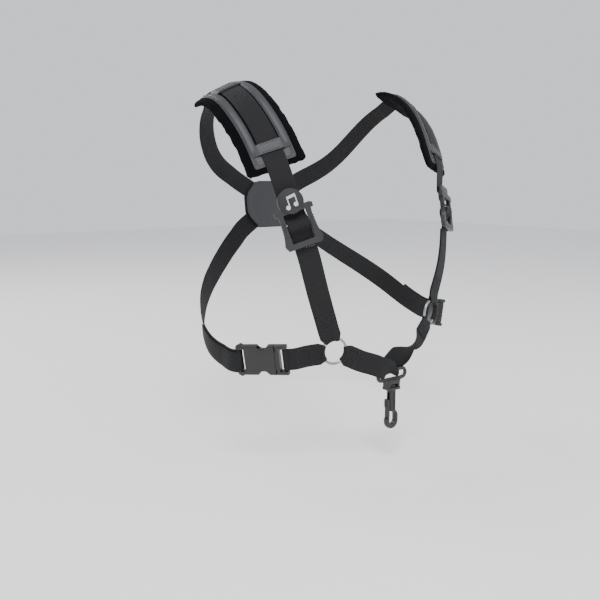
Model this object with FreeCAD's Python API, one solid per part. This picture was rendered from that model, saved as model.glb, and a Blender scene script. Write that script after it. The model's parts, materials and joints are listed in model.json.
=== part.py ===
import FreeCAD, Part
import math
import os

# Two-shoulder saxophone harness, worn on an upright chest.
# Millimetres. +Z up, the wearer's front faces -Y, +X is the wearer's left.
# The origin is the middle of the neck base, between the two shoulder pads.

Vector = FreeCAD.Vector

# The wearer that the routes below are written for, and the wearer that is built.
# A size set here stretches the routes; the webbing and the hardware keep their own sizes.
plain_width, plain_depth, plain_drop = 300.0, 220.0, 300.0
rib_width = 300.0        # across the ribs at the rings
chest_depth = 220.0      # front of the chest to the shoulder blades
ring_drop = 300.0        # neck base down to the rings

# Webbing
webbing_width = 25.0
webbing_thickness = 1.4
layer_gap = 0.3          # between two pieces that lie on each other
body_gap = 0.3           # between the wearer and the lowest webbing

# Shoulder pads and their covers
pad_length = 142.0
pad_thickness = 8.0
pad_edge = 3.0           # thickness at the rounded border
cover_width = webbing_width + 25.0
pad_width = cover_width + 21.0
cover_start = 5.0        # plush that shows beyond the cover's ends
cover_thickness = 1.2
cover_inside = webbing_width / 2 + 2.5    # half of the window's width
window_margin = 22.0     # cover's end to the window's end
rail_width = 9.0
rail_height = 3.2
bridge_length = 12.0
pad_to_adjuster = 54.0   # pad's front end to the adjuster's middle

# Adjusters
adjuster_length = 46.0
adjuster_thickness = 5.0
adjuster_ear = 1.9
adjuster_waist = 1.6
window_width = webbing_width + 2.0
adjuster_width = window_width + 14.0
window_length = 33.0
adjuster_bar_radius = 1.8
badge_radius = 13.9
badge_thickness = 1.6
badge_offset = 29.0      # adjuster's middle to the badge's middle
left_tab_length = 10.0

# Front strap
v_sewn_length = 34.0     # doubled and sewn, from the ring

# Rings and the loops sewn round them
ring_radius = 15.0       # to the middle of the wire
ring_wire_radius = 1.5
loop_clearance = 0.3
loop_half_angle = 36.0

# Side-release buckles
buckle_width = webbing_width + 11.0
buckle_thickness = 9.6
male_length = 14.0
socket_length = 47.0
buckle_start = 52.0      # ring's middle to the male half's end, along the side strap
buckle_lift = 1.0
socket_wall = 1.9
socket_fit = 0.35
slot_length = 5.0        # webbing slot in each half
bar_radius = 1.9
bar_inset = 2.6          # end of a half to the middle of its webbing bar
prong_length = 25.0
prong_width = 5.0

# Bail, swivel and snap hook
hook_x = 0.5
bail_width = webbing_width + 25.0
bail_height = 15.5
bail_section = 4.4
swivel_fit = 0.06
neck_radius = 3.0
head_radius = 5.0
head_thickness = 2.2
block_width = 19.0
block_depth = 13.0
block_height = 8.5
plate_thickness = 3.0
shank_width = 9.0
shank_depth = 8.0
shank_length = 26.0
eye_width = 19.5
eye_height = 23.0
eye_section = 4.5
eye_depth = 6.0
hook_gap = 8.0
slide_width = 4.0
slide_length = 23.2
slide_travel = 8.5
slide_fit = 0.3
spring_radius = 1.5
spring_wire = 0.4
spring_turns = 8

# Back yoke
yoke_width = 84.0
yoke_height = 64.0
yoke_ply = 1.8
yoke_gap = 0.7

# Folded-back tail of each side strap
tail_length = 66.0
tail_offset = 3.0        # how far the tail hangs below the strap it lies on
side_end_length = 32.0   # the stretch behind the buckle that gives when it is opened
chest_end_length = 24.0  # the stretch below each adjuster that gives when it slides

# Routes: each row is a place on the wearer and the direction that faces outwards there.
right_front = [
    (-78, -86, -313, -0.30, -0.95, -0.05),
    (-87, -85, -283, -0.33, -0.94, -0.06),
    (-102, -83, -235, -0.40, -0.91, -0.04),
    (-111, -79, -198, -0.46, -0.88, 0.10),
    (-118, -72, -170, -0.49, -0.84, 0.22),
    (-126, -57, -127, -0.49, -0.83, 0.26),
    (-130, -48, -106, -0.48, -0.79, 0.38),
    (-135, -29, -72, -0.45, -0.74, 0.50),
    (-141, -5, -42, -0.44, -0.58, 0.69),
    (-143, 22, -25, -0.42, -0.25, 0.87),
    (-143, 50, -24, -0.42, 0.15, 0.90),
    (-137, 80, -38, -0.41, 0.54, 0.74),
    (-120, 110, -70, -0.36, 0.82, 0.45),
    (-92, 130, -99, -0.22, 0.95, 0.15),
    (-52, 140, -121, -0.01, 0.99, -0.115),
    (-26, 138, -136.5, 0.0, 0.99, -0.125),
    (0, 136, -152, 0.0, 0.99, -0.13),
]
left_front = [
    (79, -87, -284, 0.28, -0.96, -0.06),
    (91, -85, -258, 0.33, -0.94, -0.06),
    (104, -83, -226, 0.39, -0.92, 0.00),
    (112, -79, -193, 0.45, -0.88, 0.10),
    (118, -72, -160, 0.47, -0.85, 0.22),
    (120, -62, -130, 0.46, -0.84, 0.26),
    (120, -52, -106, 0.44, -0.81, 0.38),
    (125, -34, -73, 0.43, -0.76, 0.50),
    (132, -8, -42, 0.43, -0.60, 0.67),
    (136, 20, -24, 0.42, -0.25, 0.87),
    (138, 50, -22, 0.42, 0.15, 0.90),
    (134, 80, -36, 0.41, 0.54, 0.74),
    (118, 110, -69, 0.36, 0.82, 0.45),
    (92, 130, -99, 0.22, 0.95, 0.15),
    (52, 140, -121, 0.01, 0.99, -0.115),
    (26, 138, -136.5, 0.0, 0.99, -0.125),
    (0, 136, -152, 0.0, 0.99, -0.13),
]
right_side = [
    (-78, -86, -313, -0.30, -0.95, -0.05),
    (-92, -81, -315, -0.42, -0.90, -0.07),
    (-109, -72, -318, -0.58, -0.80, -0.10),
    (-124, -60, -320, -0.80, -0.58, -0.13),
    (-141, -34, -322, -0.85, -0.50, -0.16),
    (-158, -8, -324, -0.88, -0.44, -0.18),
    (-167, 16, -319, -0.97, -0.12, -0.20),
    (-168, 42, -305, -0.95, 0.22, -0.22),
    (-158, 68, -282, -0.83, 0.50, -0.24),
    (-136, 92, -255, -0.62, 0.74, -0.26),
    (-98, 116, -222, -0.30, 0.92, -0.25),
    (-54, 131.5, -187, -0.01, 0.99, -0.145),
    (-27, 134, -169.5, 0.0, 0.99, -0.135),
    (0, 136, -152, 0.0, 0.99, -0.13),
]
left_side = [
    (79, -87, -284, 0.28, -0.96, -0.06),
    (93, -82, -287, 0.42, -0.90, -0.07),
    (110, -73, -290, 0.58, -0.80, -0.10),
    (125, -61, -293, 0.80, -0.58, -0.13),
    (143, -36, -297, 0.85, -0.50, -0.16),
    (160, -10, -301, 0.88, -0.44, -0.18),
    (169, 14, -299, 0.97, -0.12, -0.20),
    (170, 42, -289, 0.95, 0.22, -0.22),
    (159, 68, -270, 0.83, 0.50, -0.24),
    (136, 92, -247, 0.62, 0.74, -0.26),
    (98, 116, -218, 0.30, 0.92, -0.25),
    (54, 131.5, -187, 0.01, 0.99, -0.145),
    (27, 134, -169.5, 0.0, 0.99, -0.135),
    (0, 136, -152, 0.0, 0.99, -0.13),
]
right_v = [
    (-78, -86, -313, -0.30, -0.95, -0.05),
    (-60, -92, -321, -0.20, -0.97, -0.02),
    (-38, -97, -332, -0.10, -0.98, 0.10),
    (-15, -101, -341, -0.05, -0.93, 0.35),
]
left_v = [
    (79, -87, -284, 0.28, -0.96, -0.06),
    (68, -91, -298, 0.26, -0.97, -0.04),
    (50, -94, -318, 0.10, -0.99, -0.02),
    (30, -95, -334, 0.05, -0.99, -0.02),
]
bail_place = (hook_x, -103.5, -345.0)    # the middle of the bail's top bar


def at(row):
    """A place on the wearer, stretched from the plain wearer's sizes to the built ones."""
    return Vector(
        row[0] * rib_width / plain_width,
        row[1] * chest_depth / plain_depth,
        row[2] * ring_drop / plain_drop,
    )


class Route:
    """A smooth line over the wearer, measured by length from its first place."""

    def __init__(self, rows):
        places = [at(row) for row in rows]
        knots = [0.0]
        for a, b in zip(places, places[1:]):
            knots.append(knots[-1] + (b - a).Length)
        self.line = Part.BSplineCurve()
        self.line.interpolate(Points=places, Parameters=knots)
        self.out = Part.BSplineCurve()
        self.out.interpolate(Points=[Vector(*row[3:]) for row in rows], Parameters=knots)
        self.length = self.line.length()

    def frame(self, s):
        """Place, across, along and outward directions at a length s."""
        u = self.line.parameterAtDistance(s, self.line.FirstParameter)
        along = self.line.tangent(u)[0]
        out = self.out.value(u)
        out = (out - along * out.dot(along)).normalize()
        return self.line.value(u), along.cross(out), along, out

    def nearest(self, place):
        """Length from the start to the point nearest to a place."""
        u = self.line.parameter(place)
        return self.line.length(self.line.FirstParameter, u)


def steps(start, end, pitch):
    """Evenly spaced lengths from start to end, about one pitch apart."""
    count = max(2, int(round(abs(end - start) / pitch)))
    return [start + (end - start) * i / count for i in range(count + 1)]


def seat(shape, frame, lift=0.0):
    """Moves a shape from its own frame (across, along, out) to a frame on a route."""
    place, across, along, out = frame
    place = place + out * lift
    matrix = FreeCAD.Matrix(
        across.x, along.x, out.x, place.x,
        across.y, along.y, out.y, place.y,
        across.z, along.z, out.z, place.z,
        0, 0, 0, 1,
    )
    moved = shape.copy()
    moved.Placement = FreeCAD.Placement(matrix)
    return moved


def loft(sections):
    """A closed solid through cross-sections that list matching corners."""
    knots = [0.0]
    for before, after in zip(sections, sections[1:]):
        moved = sum((q - p).Length for p, q in zip(before, after)) / len(before)
        knots.append(knots[-1] + moved)
    rails = []
    for corner in zip(*sections):
        curve = Part.BSplineCurve()
        curve.interpolate(Points=list(corner), Parameters=knots)
        rails.append(curve.toShape())
    faces = [Part.makeRuledSurface(a, b) for a, b in zip(rails, rails[1:] + rails[:1])]
    for corners in (sections[0], sections[-1]):
        faces.append(Part.Face(Part.makePolygon(corners + corners[:1])))
    shell = Part.makeShell(faces)
    shell.sewShape()
    solid = Part.makeSolid(shell)
    if solid.Volume < 0:
        solid.reverse()
    return solid


def band(route, lengths, outline, lift=None):
    """A strip along a route. outline(s) lists (across, out) corners, lift(s) raises them."""
    sections = []
    for s in lengths:
        place, across, _, out = route.frame(s)
        raised = lift(s) if lift else 0.0
        sections.append([place + across * x + out * (z + raised) for x, z in outline(s)])
    return loft(sections)


def flat(low_x, high_x, low_z, high_z):
    """The outline of a flat strip."""
    return [(low_x, low_z), (high_x, low_z), (high_x, high_z), (low_x, high_z)]


def box(low_x, high_x, low_y, high_y, low_z, high_z):
    return Part.makeBox(
        high_x - low_x, high_y - low_y, high_z - low_z, Vector(low_x, low_y, low_z)
    )


def rod(radius, start, end):
    """A round bar between two places."""
    return Part.makeCylinder(radius, (end - start).Length, start, end - start)


def softened(shape, radius, chosen):
    """Rounds the chosen edges."""
    edges = [edge for edge in shape.Edges if chosen(edge)]
    return shape.makeFillet(radius, edges) if edges else shape


def write(shape, node):
    shape = shape.removeSplitter() if len(shape.Solids) == 1 else shape
    shape.exportStep("parts/" + node + ".step")
    print(node, "solids", len(shape.Solids), "volume", round(shape.Volume, 1), "valid", shape.isValid())


# Heights above the wearer, from the body outwards.
single_top = body_gap + webbing_thickness
double_thickness = 2 * webbing_thickness
double_middle = body_gap + webbing_thickness
ring_lift = body_gap + ring_wire_radius + loop_clearance + webbing_thickness
adjuster_base = body_gap + double_thickness + layer_gap
adjuster_bar_lift = adjuster_base + adjuster_thickness / 2
sleeve_radius = adjuster_bar_radius + 0.15 + webbing_thickness
pad_top = body_gap + pad_thickness
strap_on_pad = pad_top + cover_thickness + 2 * layer_gap


def eased(s, start, end, low, high):
    """Goes smoothly from low to high while s goes from start to end."""
    share = min(1.0, max(0.0, (s - start) / (end - start)))
    return low + (high - low) * (3 - 2 * share) * share * share


def ring_frame(rows):
    """The frame of a ring that lies flat on the chest at a route's first row."""
    out = Vector(*rows[0][3:]).normalize()
    along = Vector(0, 0, 1)
    along = (along - out * along.dot(out)).normalize()
    return at(rows[0]), along.cross(out), along, out


def ring_solid(frame):
    """A welded wire ring."""
    ring = Part.makeTorus(ring_radius, ring_wire_radius)
    return seat(ring, frame, ring_lift)


def ring_loop(frame, heading):
    """The part of a webbing end that is folded round the ring."""
    place, _, _, out = frame
    centre = place + out * ring_lift
    heading = (heading - out * heading.dot(out)).normalize()
    rim = centre + heading * ring_radius
    axis = out.cross(heading)
    inner = ring_wire_radius + loop_clearance
    rings = [Part.Wire([Part.makeCircle(r, rim, axis)]) for r in (inner + webbing_thickness, inner)]
    face = Part.Face(rings[0]).cut(Part.Face(rings[1])).Faces[0]
    loop = face.revolve(centre, out, 2 * loop_half_angle)
    loop.rotate(centre, out, -loop_half_angle)
    return loop


def clear_of_ring(shape, frame):
    """Cuts away what would reach into the ring or touch its wire."""
    wire = Part.makeTorus(ring_radius, ring_wire_radius + loop_clearance)
    hole = Part.makeCylinder(ring_radius, 30.0, Vector(0, 0, -15.0))
    shape = shape.cut(seat(wire, frame, ring_lift))
    return shape.cut(seat(hole, frame, ring_lift))


def ring_width(s):
    """The webbing narrows to fit its share of the ring."""
    return min(webbing_width, 2 * s * math.tan(math.radians(loop_half_angle)))


def looped_end(route, frame, end, lift):
    """Doubled webbing from its loop round the ring to a length along its route."""
    start = ring_radius * math.cos(math.radians(loop_half_angle))
    near = steps(start, webbing_width, 3.0)
    lengths = near + steps(webbing_width, end, 9.0)[1:]
    half = double_thickness / 2
    strip = band(
        route,
        lengths,
        lambda s: flat(-ring_width(s) / 2, ring_width(s) / 2, -half, half),
        lift,
    )
    strip = clear_of_ring(strip, frame)
    return strip.fuse(ring_loop(frame, route.frame(0)[2]))


def shoulder_pad(route, start):
    """A padded cushion with rounded borders and a slightly crowned top."""
    half = pad_width / 2

    def outline(s):
        return [
            (-half + 2, body_gap), (half - 2, body_gap), (half, body_gap + pad_edge),
            (half - 5, pad_top - 0.6), (half - 11, pad_top), (11 - half, pad_top),
            (5 - half, pad_top - 0.6), (-half, body_gap + pad_edge),
        ]

    return band(route, steps(start, start + pad_length, 14.0), outline)


def window_of(start):
    """First and last length of a cover and of the window in it."""
    first = start + cover_start
    last = start + pad_length - cover_start
    return first, last, first + window_margin, last - window_margin


def pad_cover(route, start):
    """A stitched leatherette frame with a long window."""
    first, last, window_first, window_last = window_of(start)
    half = cover_width / 2
    base = pad_top + layer_gap
    top = base + cover_thickness
    frame = band(route, steps(first, last, 11.0), lambda s: flat(-half, half, base, top))
    window = band(
        route,
        steps(window_first, window_last, 11.0),
        lambda s: flat(-cover_inside, cover_inside, base - 1.0, top + 1.0),
    )
    return frame.cut(window)


def pad_rail(route, start, side):
    """A raised roll of leatherette beside the window."""
    _, _, window_first, window_last = window_of(start)
    base = pad_top + 2 * layer_gap + cover_thickness
    top = pad_top + layer_gap + rail_height
    ends = sorted([side * (cover_inside + layer_gap), side * (cover_inside + rail_width)])
    crown = 0.28 * rail_width
    outline = [
        (ends[0], base), (ends[1], base), (ends[1], base + 0.4),
        (ends[1] - crown, top), (ends[0] + crown, top), (ends[0], base + 0.4),
    ]
    return band(route, steps(window_first - 9.0, window_last + 9.0, 14.0), lambda s: outline)


def pad_bridge(route, near):
    """A low arch over the strap, standing between the two rails."""
    base = pad_top + 2 * layer_gap + cover_thickness
    roof = strap_on_pad + webbing_thickness + layer_gap
    outer = cover_inside - layer_gap
    inner = webbing_width / 2 + 2 * layer_gap
    outline = [
        (-outer, base), (-inner, base), (-inner, roof), (inner, roof),
        (inner, base), (outer, base), (outer, roof + 1.2), (-outer, roof + 1.2),
    ]
    return band(route, steps(near, near + bridge_length, 6.0), lambda s: outline)


def shoulder_strap(route, start, lift_at_yoke):
    """Single webbing over the pad, under both bridges and down to the yoke behind."""
    first = start - 18.0
    pad_end = start + pad_length
    half = webbing_thickness / 2

    def lift(s):
        low = body_gap + half
        on_pad = strap_on_pad + half
        if s < start + pad_length / 2:
            return eased(s, start - 9.0, start + 3.0, low, on_pad)
        if s < pad_end + 20.0:
            return eased(s, pad_end - 3.0, pad_end + 10.0, on_pad, low)
        return eased(s, route.length - 84.0, route.length - 57.0, low, lift_at_yoke)

    lengths = steps(first, start - 9.0, 4.5)
    lengths += steps(start - 9.0, start + 3.0, 3.0)[1:]
    lengths += steps(start + 3.0, pad_end - 3.0, 12.0)[1:]
    lengths += steps(pad_end - 3.0, pad_end + 10.0, 3.2)[1:]
    lengths += steps(pad_end + 10.0, route.length - 0.2, 10.0)[1:]
    return band(
        route,
        lengths,
        lambda s: flat(-webbing_width / 2, webbing_width / 2, -half, half),
        lift,
    )


def upper_strap(route, first, last):
    """The short free stretch of webbing between the pad and the adjuster."""
    return band(
        route,
        steps(first, last, 5.0),
        lambda s: flat(-webbing_width / 2, webbing_width / 2, body_gap, single_top),
    )


def folded_strip(points, thickness, width):
    """Webbing that follows a path of (along, out) points, seen from its edge."""
    places = [Vector(0, y, z) for y, z in points]
    knots = [0.0]
    for a, b in zip(places, places[1:]):
        knots.append(knots[-1] + (b - a).Length)
    path = Part.BSplineCurve()
    path.interpolate(Points=places, Parameters=knots)
    count = 4 * len(points)
    edges = []
    for side in (-0.5, 0.5):
        offset = []
        for i in range(count + 1):
            u = knots[-1] * i / count
            along = path.tangent(u)[0]
            normal = Vector(1, 0, 0).cross(along)
            offset.append(path.value(u) + normal * (side * thickness) - Vector(width / 2, 0, 0))
        curve = Part.BSplineCurve()
        curve.interpolate(Points=offset)
        edges.append(curve.toShape())
    low, high = edges
    ends = [
        Part.makeLine(low.Vertexes[0].Point, high.Vertexes[0].Point),
        Part.makeLine(low.Vertexes[-1].Point, high.Vertexes[-1].Point),
    ]
    outline = Part.Wire(Part.__sortEdges__([low, ends[1], high, ends[0]]))
    return Part.Face(outline).extrude(Vector(width, 0, 0))


def adjuster_frame(tab):
    """A moulded slide with a window, a middle bar, flared ears and ribbed edges."""
    half, reach = adjuster_width / 2, adjuster_length / 2
    waist = half - adjuster_waist
    low, high = adjuster_base, adjuster_base + adjuster_thickness
    corner = half + adjuster_ear

    def side(sign):
        top = Vector(sign * half, reach, low)
        middle = Vector(sign * waist, 0, low)
        bottom = Vector(sign * corner, -reach + 6.0, low)
        return [
            Part.Arc(top, middle, bottom).toShape(),
            Part.makeLine(bottom, Vector(sign * (half - 1.0), -reach, low)),
        ]

    right, left = side(1), side(-1)
    edges = right + left + [
        Part.makeLine(Vector(1 - half, -reach, low), Vector(half - 1, -reach, low)),
        Part.makeLine(Vector(-half, reach, low), Vector(half, reach, low)),
    ]
    plate = Part.Face(Part.Wire(Part.__sortEdges__(edges)))
    frame = plate.extrude(Vector(0, 0, adjuster_thickness))
    pieces = []
    for sign in (-1, 1):
        ear = sorted([sign * (half - 3.0), sign * (half + adjuster_ear)])
        pieces.append(box(ear[0], ear[1], reach - 6.5, reach - 1.0, low, high))
        for row in range(7):
            y = -7.5 + 2.5 * row
            rib = sorted([sign * (window_width / 2 + 1.6), sign * (waist + 0.55)])
            pieces.append(box(rib[0], rib[1], y - 0.55, y + 0.55, low + 0.4, high + 0.5))
    pieces.append(tab)
    frame = frame.fuse(pieces)
    opening = box(
        -window_width / 2, window_width / 2, -window_length / 2, window_length / 2, low - 1, high + 3
    )
    frame = frame.cut(opening)
    bar_ends = [Vector(sign * (window_width / 2 + 1.0), 1.5, adjuster_bar_lift) for sign in (-1, 1)]
    return frame.fuse(rod(adjuster_bar_radius, bar_ends[0], bar_ends[1]))


def round_tab():
    """The round seat that carries the badge, on the right adjuster."""
    disc = Part.makeCylinder(
        badge_radius + 0.8, adjuster_thickness, Vector(0, badge_offset, adjuster_base)
    )
    keep = box(-20, 20, window_length / 2 + 1.5, badge_offset + 20, 0, 20)
    return disc.common(keep)


def square_tab():
    """The plain tab on the left adjuster."""
    reach = adjuster_length / 2
    tab = box(
        5 - adjuster_width / 2, adjuster_width / 2 - 5, reach - 1.0, reach + left_tab_length,
        adjuster_base, adjuster_base + 3.0,
    )
    return softened(tab, 3.0, lambda e: abs(e.tangentAt(e.FirstParameter).z) > 0.9
                    and e.CenterOfMass.y > reach + 1)


def badge():
    """A thin metal disc with a raised rim."""
    base = adjuster_base + adjuster_thickness
    lift = 0.35
    disc = Part.makeCylinder(badge_radius, badge_thickness, Vector(0, badge_offset, base))
    dish = Part.makeCylinder(
        badge_radius - 1.1, 1.0, Vector(0, badge_offset, base + badge_thickness - lift)
    )
    return disc.cut(dish), base + badge_thickness - lift


def badge_motif(base):
    """A raised pair of joined quavers, a plain musical sign."""
    height = 0.5
    pieces = []
    for x, y in ((-5.0, -6.0), (4.4, -4.6)):
        head = Part.makeCylinder(2.5, height, Vector(x, badge_offset + y, base))
        pieces.append(head)
        pieces.append(box(x + 1.3, x + 2.5, badge_offset + y, badge_offset + y + 11.0, base, base + height))
    beam = Part.Face(Part.makePolygon([
        Vector(-3.7, badge_offset + 3.0, base), Vector(6.9, badge_offset + 4.4, base),
        Vector(6.9, badge_offset + 7.4, base), Vector(-3.7, badge_offset + 6.0, base),
        Vector(-3.7, badge_offset + 3.0, base),
    ])).extrude(Vector(0, 0, height))
    return beam.fuse(pieces)


def threaded_webbing():
    """The strap end that rises through the window, over the middle bar and down again."""
    over = adjuster_bar_lift + sleeve_radius + 0.15 + webbing_thickness / 2
    low = body_gap + webbing_thickness / 2
    outer = body_gap + 1.5 * webbing_thickness + 0.15
    reach = adjuster_length / 2 + 1.0
    path = [
        (reach, low), (reach - 5.0, low), (11.5, low + 1.3), (7.6, over - 3.2), (4.2, over - 0.5),
        (1.5, over), (-1.2, over - 0.5), (-4.4, over - 3.2), (-9.0, outer + 1.0), (-14.0, outer),
        (5.0 - reach, outer), (-reach, outer),
    ]
    return folded_strip(path, webbing_thickness, webbing_width)


def bar_sleeve(y, z, radius):
    """Webbing sewn round a bar, as a tube as wide as the webbing."""
    ends = [Vector(sign * webbing_width / 2, y, z) for sign in (-1, 1)]
    return rod(radius + 0.15 + webbing_thickness, ends[0], ends[1]).cut(rod(radius + 0.15, ends[0], ends[1]))


def adjuster_sleeve():
    """The doubled strap's inner layer, sewn round the adjuster's middle bar."""
    sleeve = bar_sleeve(1.5, adjuster_bar_lift, adjuster_bar_radius)
    low = adjuster_bar_lift - sleeve_radius
    tail = box(
        -webbing_width / 2, webbing_width / 2, -adjuster_length / 2 - 1.0, 1.5,
        body_gap, body_gap + webbing_thickness - 0.1,
    )
    web = box(
        -webbing_width / 2, webbing_width / 2, -0.2, 3.2,
        body_gap, low + webbing_thickness - 0.2,
    )
    hole = rod(adjuster_bar_radius + 0.15, Vector(-20, 1.5, adjuster_bar_lift), Vector(20, 1.5, adjuster_bar_lift))
    return sleeve.fuse([tail, web]).cut(hole)


def buckle_male():
    """The pronged half: a grip with a webbing bar and a middle guide tongue."""
    half = buckle_width / 2
    grip = box(-half, half, 0, male_length, 0, buckle_thickness)
    grip = softened(grip, 2.2, lambda e: e.BoundBox.XLength > buckle_width - 1
                    or (e.BoundBox.YLength > male_length - 1))
    slot = box(
        -webbing_width / 2 - 1.2, webbing_width / 2 + 1.2, -5, bar_inset + slot_length + bar_radius, -1, 20
    )
    grip = grip.cut(slot)
    ends = [Vector(sign * (half - 3.0), bar_inset, buckle_thickness / 2) for sign in (-1, 1)]
    tongue = box(-5.5, 5.5, male_length - 2.0, male_length + 19.0, 3.0, buckle_thickness - 3.0)
    tongue = softened(tongue, 2.0, lambda e: abs(e.tangentAt(e.FirstParameter).z) > 0.9
                      and e.CenterOfMass.y > male_length + 15)
    rise = box(-11.0, 11.0, male_length - 5.0, male_length - 0.2, buckle_thickness - 1.5, buckle_thickness)
    return grip.fuse([rod(bar_radius, ends[0], ends[1]), tongue, rise])


def prong_root(sign):
    """Where a prong bends, just inside the grip's front face."""
    return Vector(sign * 10.3, male_length + 0.6, buckle_thickness / 2)


def buckle_prong(sign):
    """A spring prong with the oval button that shows in the socket's cut-out."""
    low, high = 2.9, buckle_thickness - 2.9
    inner = 8.0
    y = male_length + 0.3
    outline = [
        (inner, y), (inner + 4.6, y), (inner + 3.8, y + 7.0), (inner + 5.6, y + 12.0),
        (inner + 5.7, y + 19.5), (inner + 3.0, y + prong_length), (inner + 0.6, y + prong_length),
        (inner + 0.4, y + 14.0), (inner, y + 7.0),
    ]
    corners = [Vector(sign * x, yy, low) for x, yy in outline]
    prong = Part.Face(Part.makePolygon(corners + corners[:1])).extrude(Vector(0, 0, high - low))
    button = Part.makeCylinder(3.2, 5.4, Vector(sign * 12.0, y + 14.5, buckle_thickness / 2 - 2.7))
    stretch = FreeCAD.Matrix()
    stretch.A11 = 0.5
    stretch.A22 = 1.45
    button.translate(Vector(-sign * 12.0, -(y + 14.5), 0))
    button = button.transformGeometry(stretch)
    button.translate(Vector(sign * 12.2, y + 14.5, 0))
    return prong.fuse(button)


def buckle_socket():
    """The socket half: a shell open to the prongs, two crescent cut-outs and a webbing slot."""
    half = buckle_width / 2
    first = male_length + socket_fit
    last = male_length + socket_length
    shell = box(-half, half, first, last, 0, buckle_thickness)
    shell = softened(shell, 2.2, lambda e: e.BoundBox.YLength > socket_length - 2)
    depth = prong_length + 2.5
    cavity = box(
        socket_wall - half, half - socket_wall, first - 1, first + depth,
        socket_wall, buckle_thickness - socket_wall,
    )
    shell = shell.cut(cavity)
    for sign in (-1, 1):
        cut = Part.makeCylinder(7.6, 30, Vector(sign * (half + 2.4), male_length + 15.5, -10))
        shell = shell.cut(cut)
        bump = Part.makeCylinder(3.4, buckle_thickness - 2.0, Vector(sign * (half - 2.2), last - 4.0, 1.0))
        shell = shell.fuse(bump)
    y = last - bar_inset
    slot = box(
        -webbing_width / 2 - 1.2, webbing_width / 2 + 1.2, y - slot_length - bar_radius, last + 5, -1, 20
    )
    shell = shell.cut(slot)
    ends = [Vector(sign * (half - 3.0), y, buckle_thickness / 2) for sign in (-1, 1)]
    return shell.fuse(rod(bar_radius, ends[0], ends[1]))


def make_front(side, rows, tab, yoke_lift):
    """Everything on one shoulder: adjuster, straps, pad and cover."""
    route = Route(rows)
    middle = route.nearest(at(rows[4]))
    frame = route.frame(middle)
    reach = adjuster_length / 2 + 1.0
    start = middle + pad_to_adjuster + (badge_radius if side == "right" else 0.0)
    write(seat(adjuster_frame(tab), frame), side + "_adjuster")
    write(seat(threaded_webbing().fuse(adjuster_sleeve()), frame), side + "_adjuster_webbing")
    write(shoulder_pad(route, start), side + "_shoulder_pad")
    write(pad_cover(route, start), side + "_pad_cover")
    inner_sign = -1 if side == "right" else 1
    write(pad_rail(route, start, inner_sign), side + "_pad_inner_rail")
    write(pad_rail(route, start, -inner_sign), side + "_pad_outer_rail")
    _, _, window_first, window_last = window_of(start)
    front_bridge = window_first - bridge_length + 3.0
    write(pad_bridge(route, front_bridge), side + "_pad_front_bridge")
    write(pad_bridge(route, window_last - 3.0), side + "_pad_back_bridge")
    write(shoulder_strap(route, start, yoke_lift), side + "_shoulder_strap")
    write(upper_strap(route, middle + reach + 0.3, start - 18.3), side + "_upper_strap")
    doubled = looped_end(
        route,
        ring_frame(rows),
        middle - reach - chest_end_length,
        lambda s: eased(s, ring_radius, ring_radius + 14.0, ring_lift, double_middle),
    )
    write(doubled, side + "_chest_strap")
    end = steps(middle - reach - chest_end_length + layer_gap, middle - reach - 0.3, 6.0)
    half = double_thickness / 2
    outline = flat(-webbing_width / 2, webbing_width / 2, -half, half)
    end = band(route, end, lambda s: outline, lambda s: double_middle)
    write(end, side + "_chest_strap_end")
    print("adjuster", side, [round(v, 4) for v in frame[2]])
    print("ring", side, [round(v, 2) for v in ring_frame(rows)[0] + ring_frame(rows)[3] * ring_lift])
    write(ring_solid(ring_frame(rows)), side + "_ring")
    return frame


def make_side(side, rows):
    """One buckle and the straps that join it to the ring and to the yoke."""
    route = Route(rows)
    frame = route.frame(buckle_start)
    far = route.frame(buckle_start + male_length + socket_length)
    along = (far[0] - frame[0]).normalize()
    out = (frame[3] + far[3]) * 0.5
    out = (out - along * out.dot(along)).normalize()
    frame = (frame[0], along.cross(out), along, out)
    write(seat(buckle_male(), frame, buckle_lift), side + "_buckle_male")
    write(seat(buckle_socket(), frame, buckle_lift), side + "_buckle_socket")
    for name, sign in (("upper", 1), ("lower", -1)):
        node = side + "_buckle_" + name + "_prong"
        sign = sign if side == "right" else -sign
        write(seat(buckle_prong(sign), frame, buckle_lift), node)
        root = frame[0] + out * buckle_lift
        local = prong_root(sign)
        root = root + frame[1] * local.x + along * local.y + out * local.z
        print("hinge", node, [round(v, 2) for v in root], "axis", [round(v, 4) for v in out])
    print("release", side, [round(v, 4) for v in along], "across", [round(v, 4) for v in frame[1]])
    bar_lift = buckle_lift + buckle_thickness / 2
    bar_s = buckle_start + bar_inset
    near = looped_end(
        route,
        ring_frame(rows),
        bar_s - 6.0,
        lambda s: eased(s, bar_s - 22.0, bar_s - 6.0, double_middle, bar_lift)
        if s > ring_radius + 14.0
        else eased(s, ring_radius, ring_radius + 14.0, ring_lift, double_middle),
    )
    sleeve = seat(bar_sleeve(bar_inset, buckle_thickness / 2, bar_radius), frame, buckle_lift)
    link = seat(
        box(-webbing_width / 2, webbing_width / 2, bar_inset - 8.0, bar_inset - bar_radius - 0.4,
            buckle_thickness / 2 - 1.3, buckle_thickness / 2 + 1.3),
        frame, buckle_lift,
    )
    write(near.fuse([sleeve, link]), side + "_ring_strap")
    back_bar = male_length + socket_length - bar_inset
    sleeve = seat(bar_sleeve(back_bar, buckle_thickness / 2, bar_radius), frame, buckle_lift)
    link = seat(
        box(-webbing_width / 2, webbing_width / 2, back_bar + bar_radius + 0.4, back_bar + 7.0,
            buckle_thickness / 2 - 0.7, buckle_thickness / 2 + 0.7),
        frame, buckle_lift,
    )
    write(sleeve.fuse(link), side + "_socket_loop")
    return route


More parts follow.
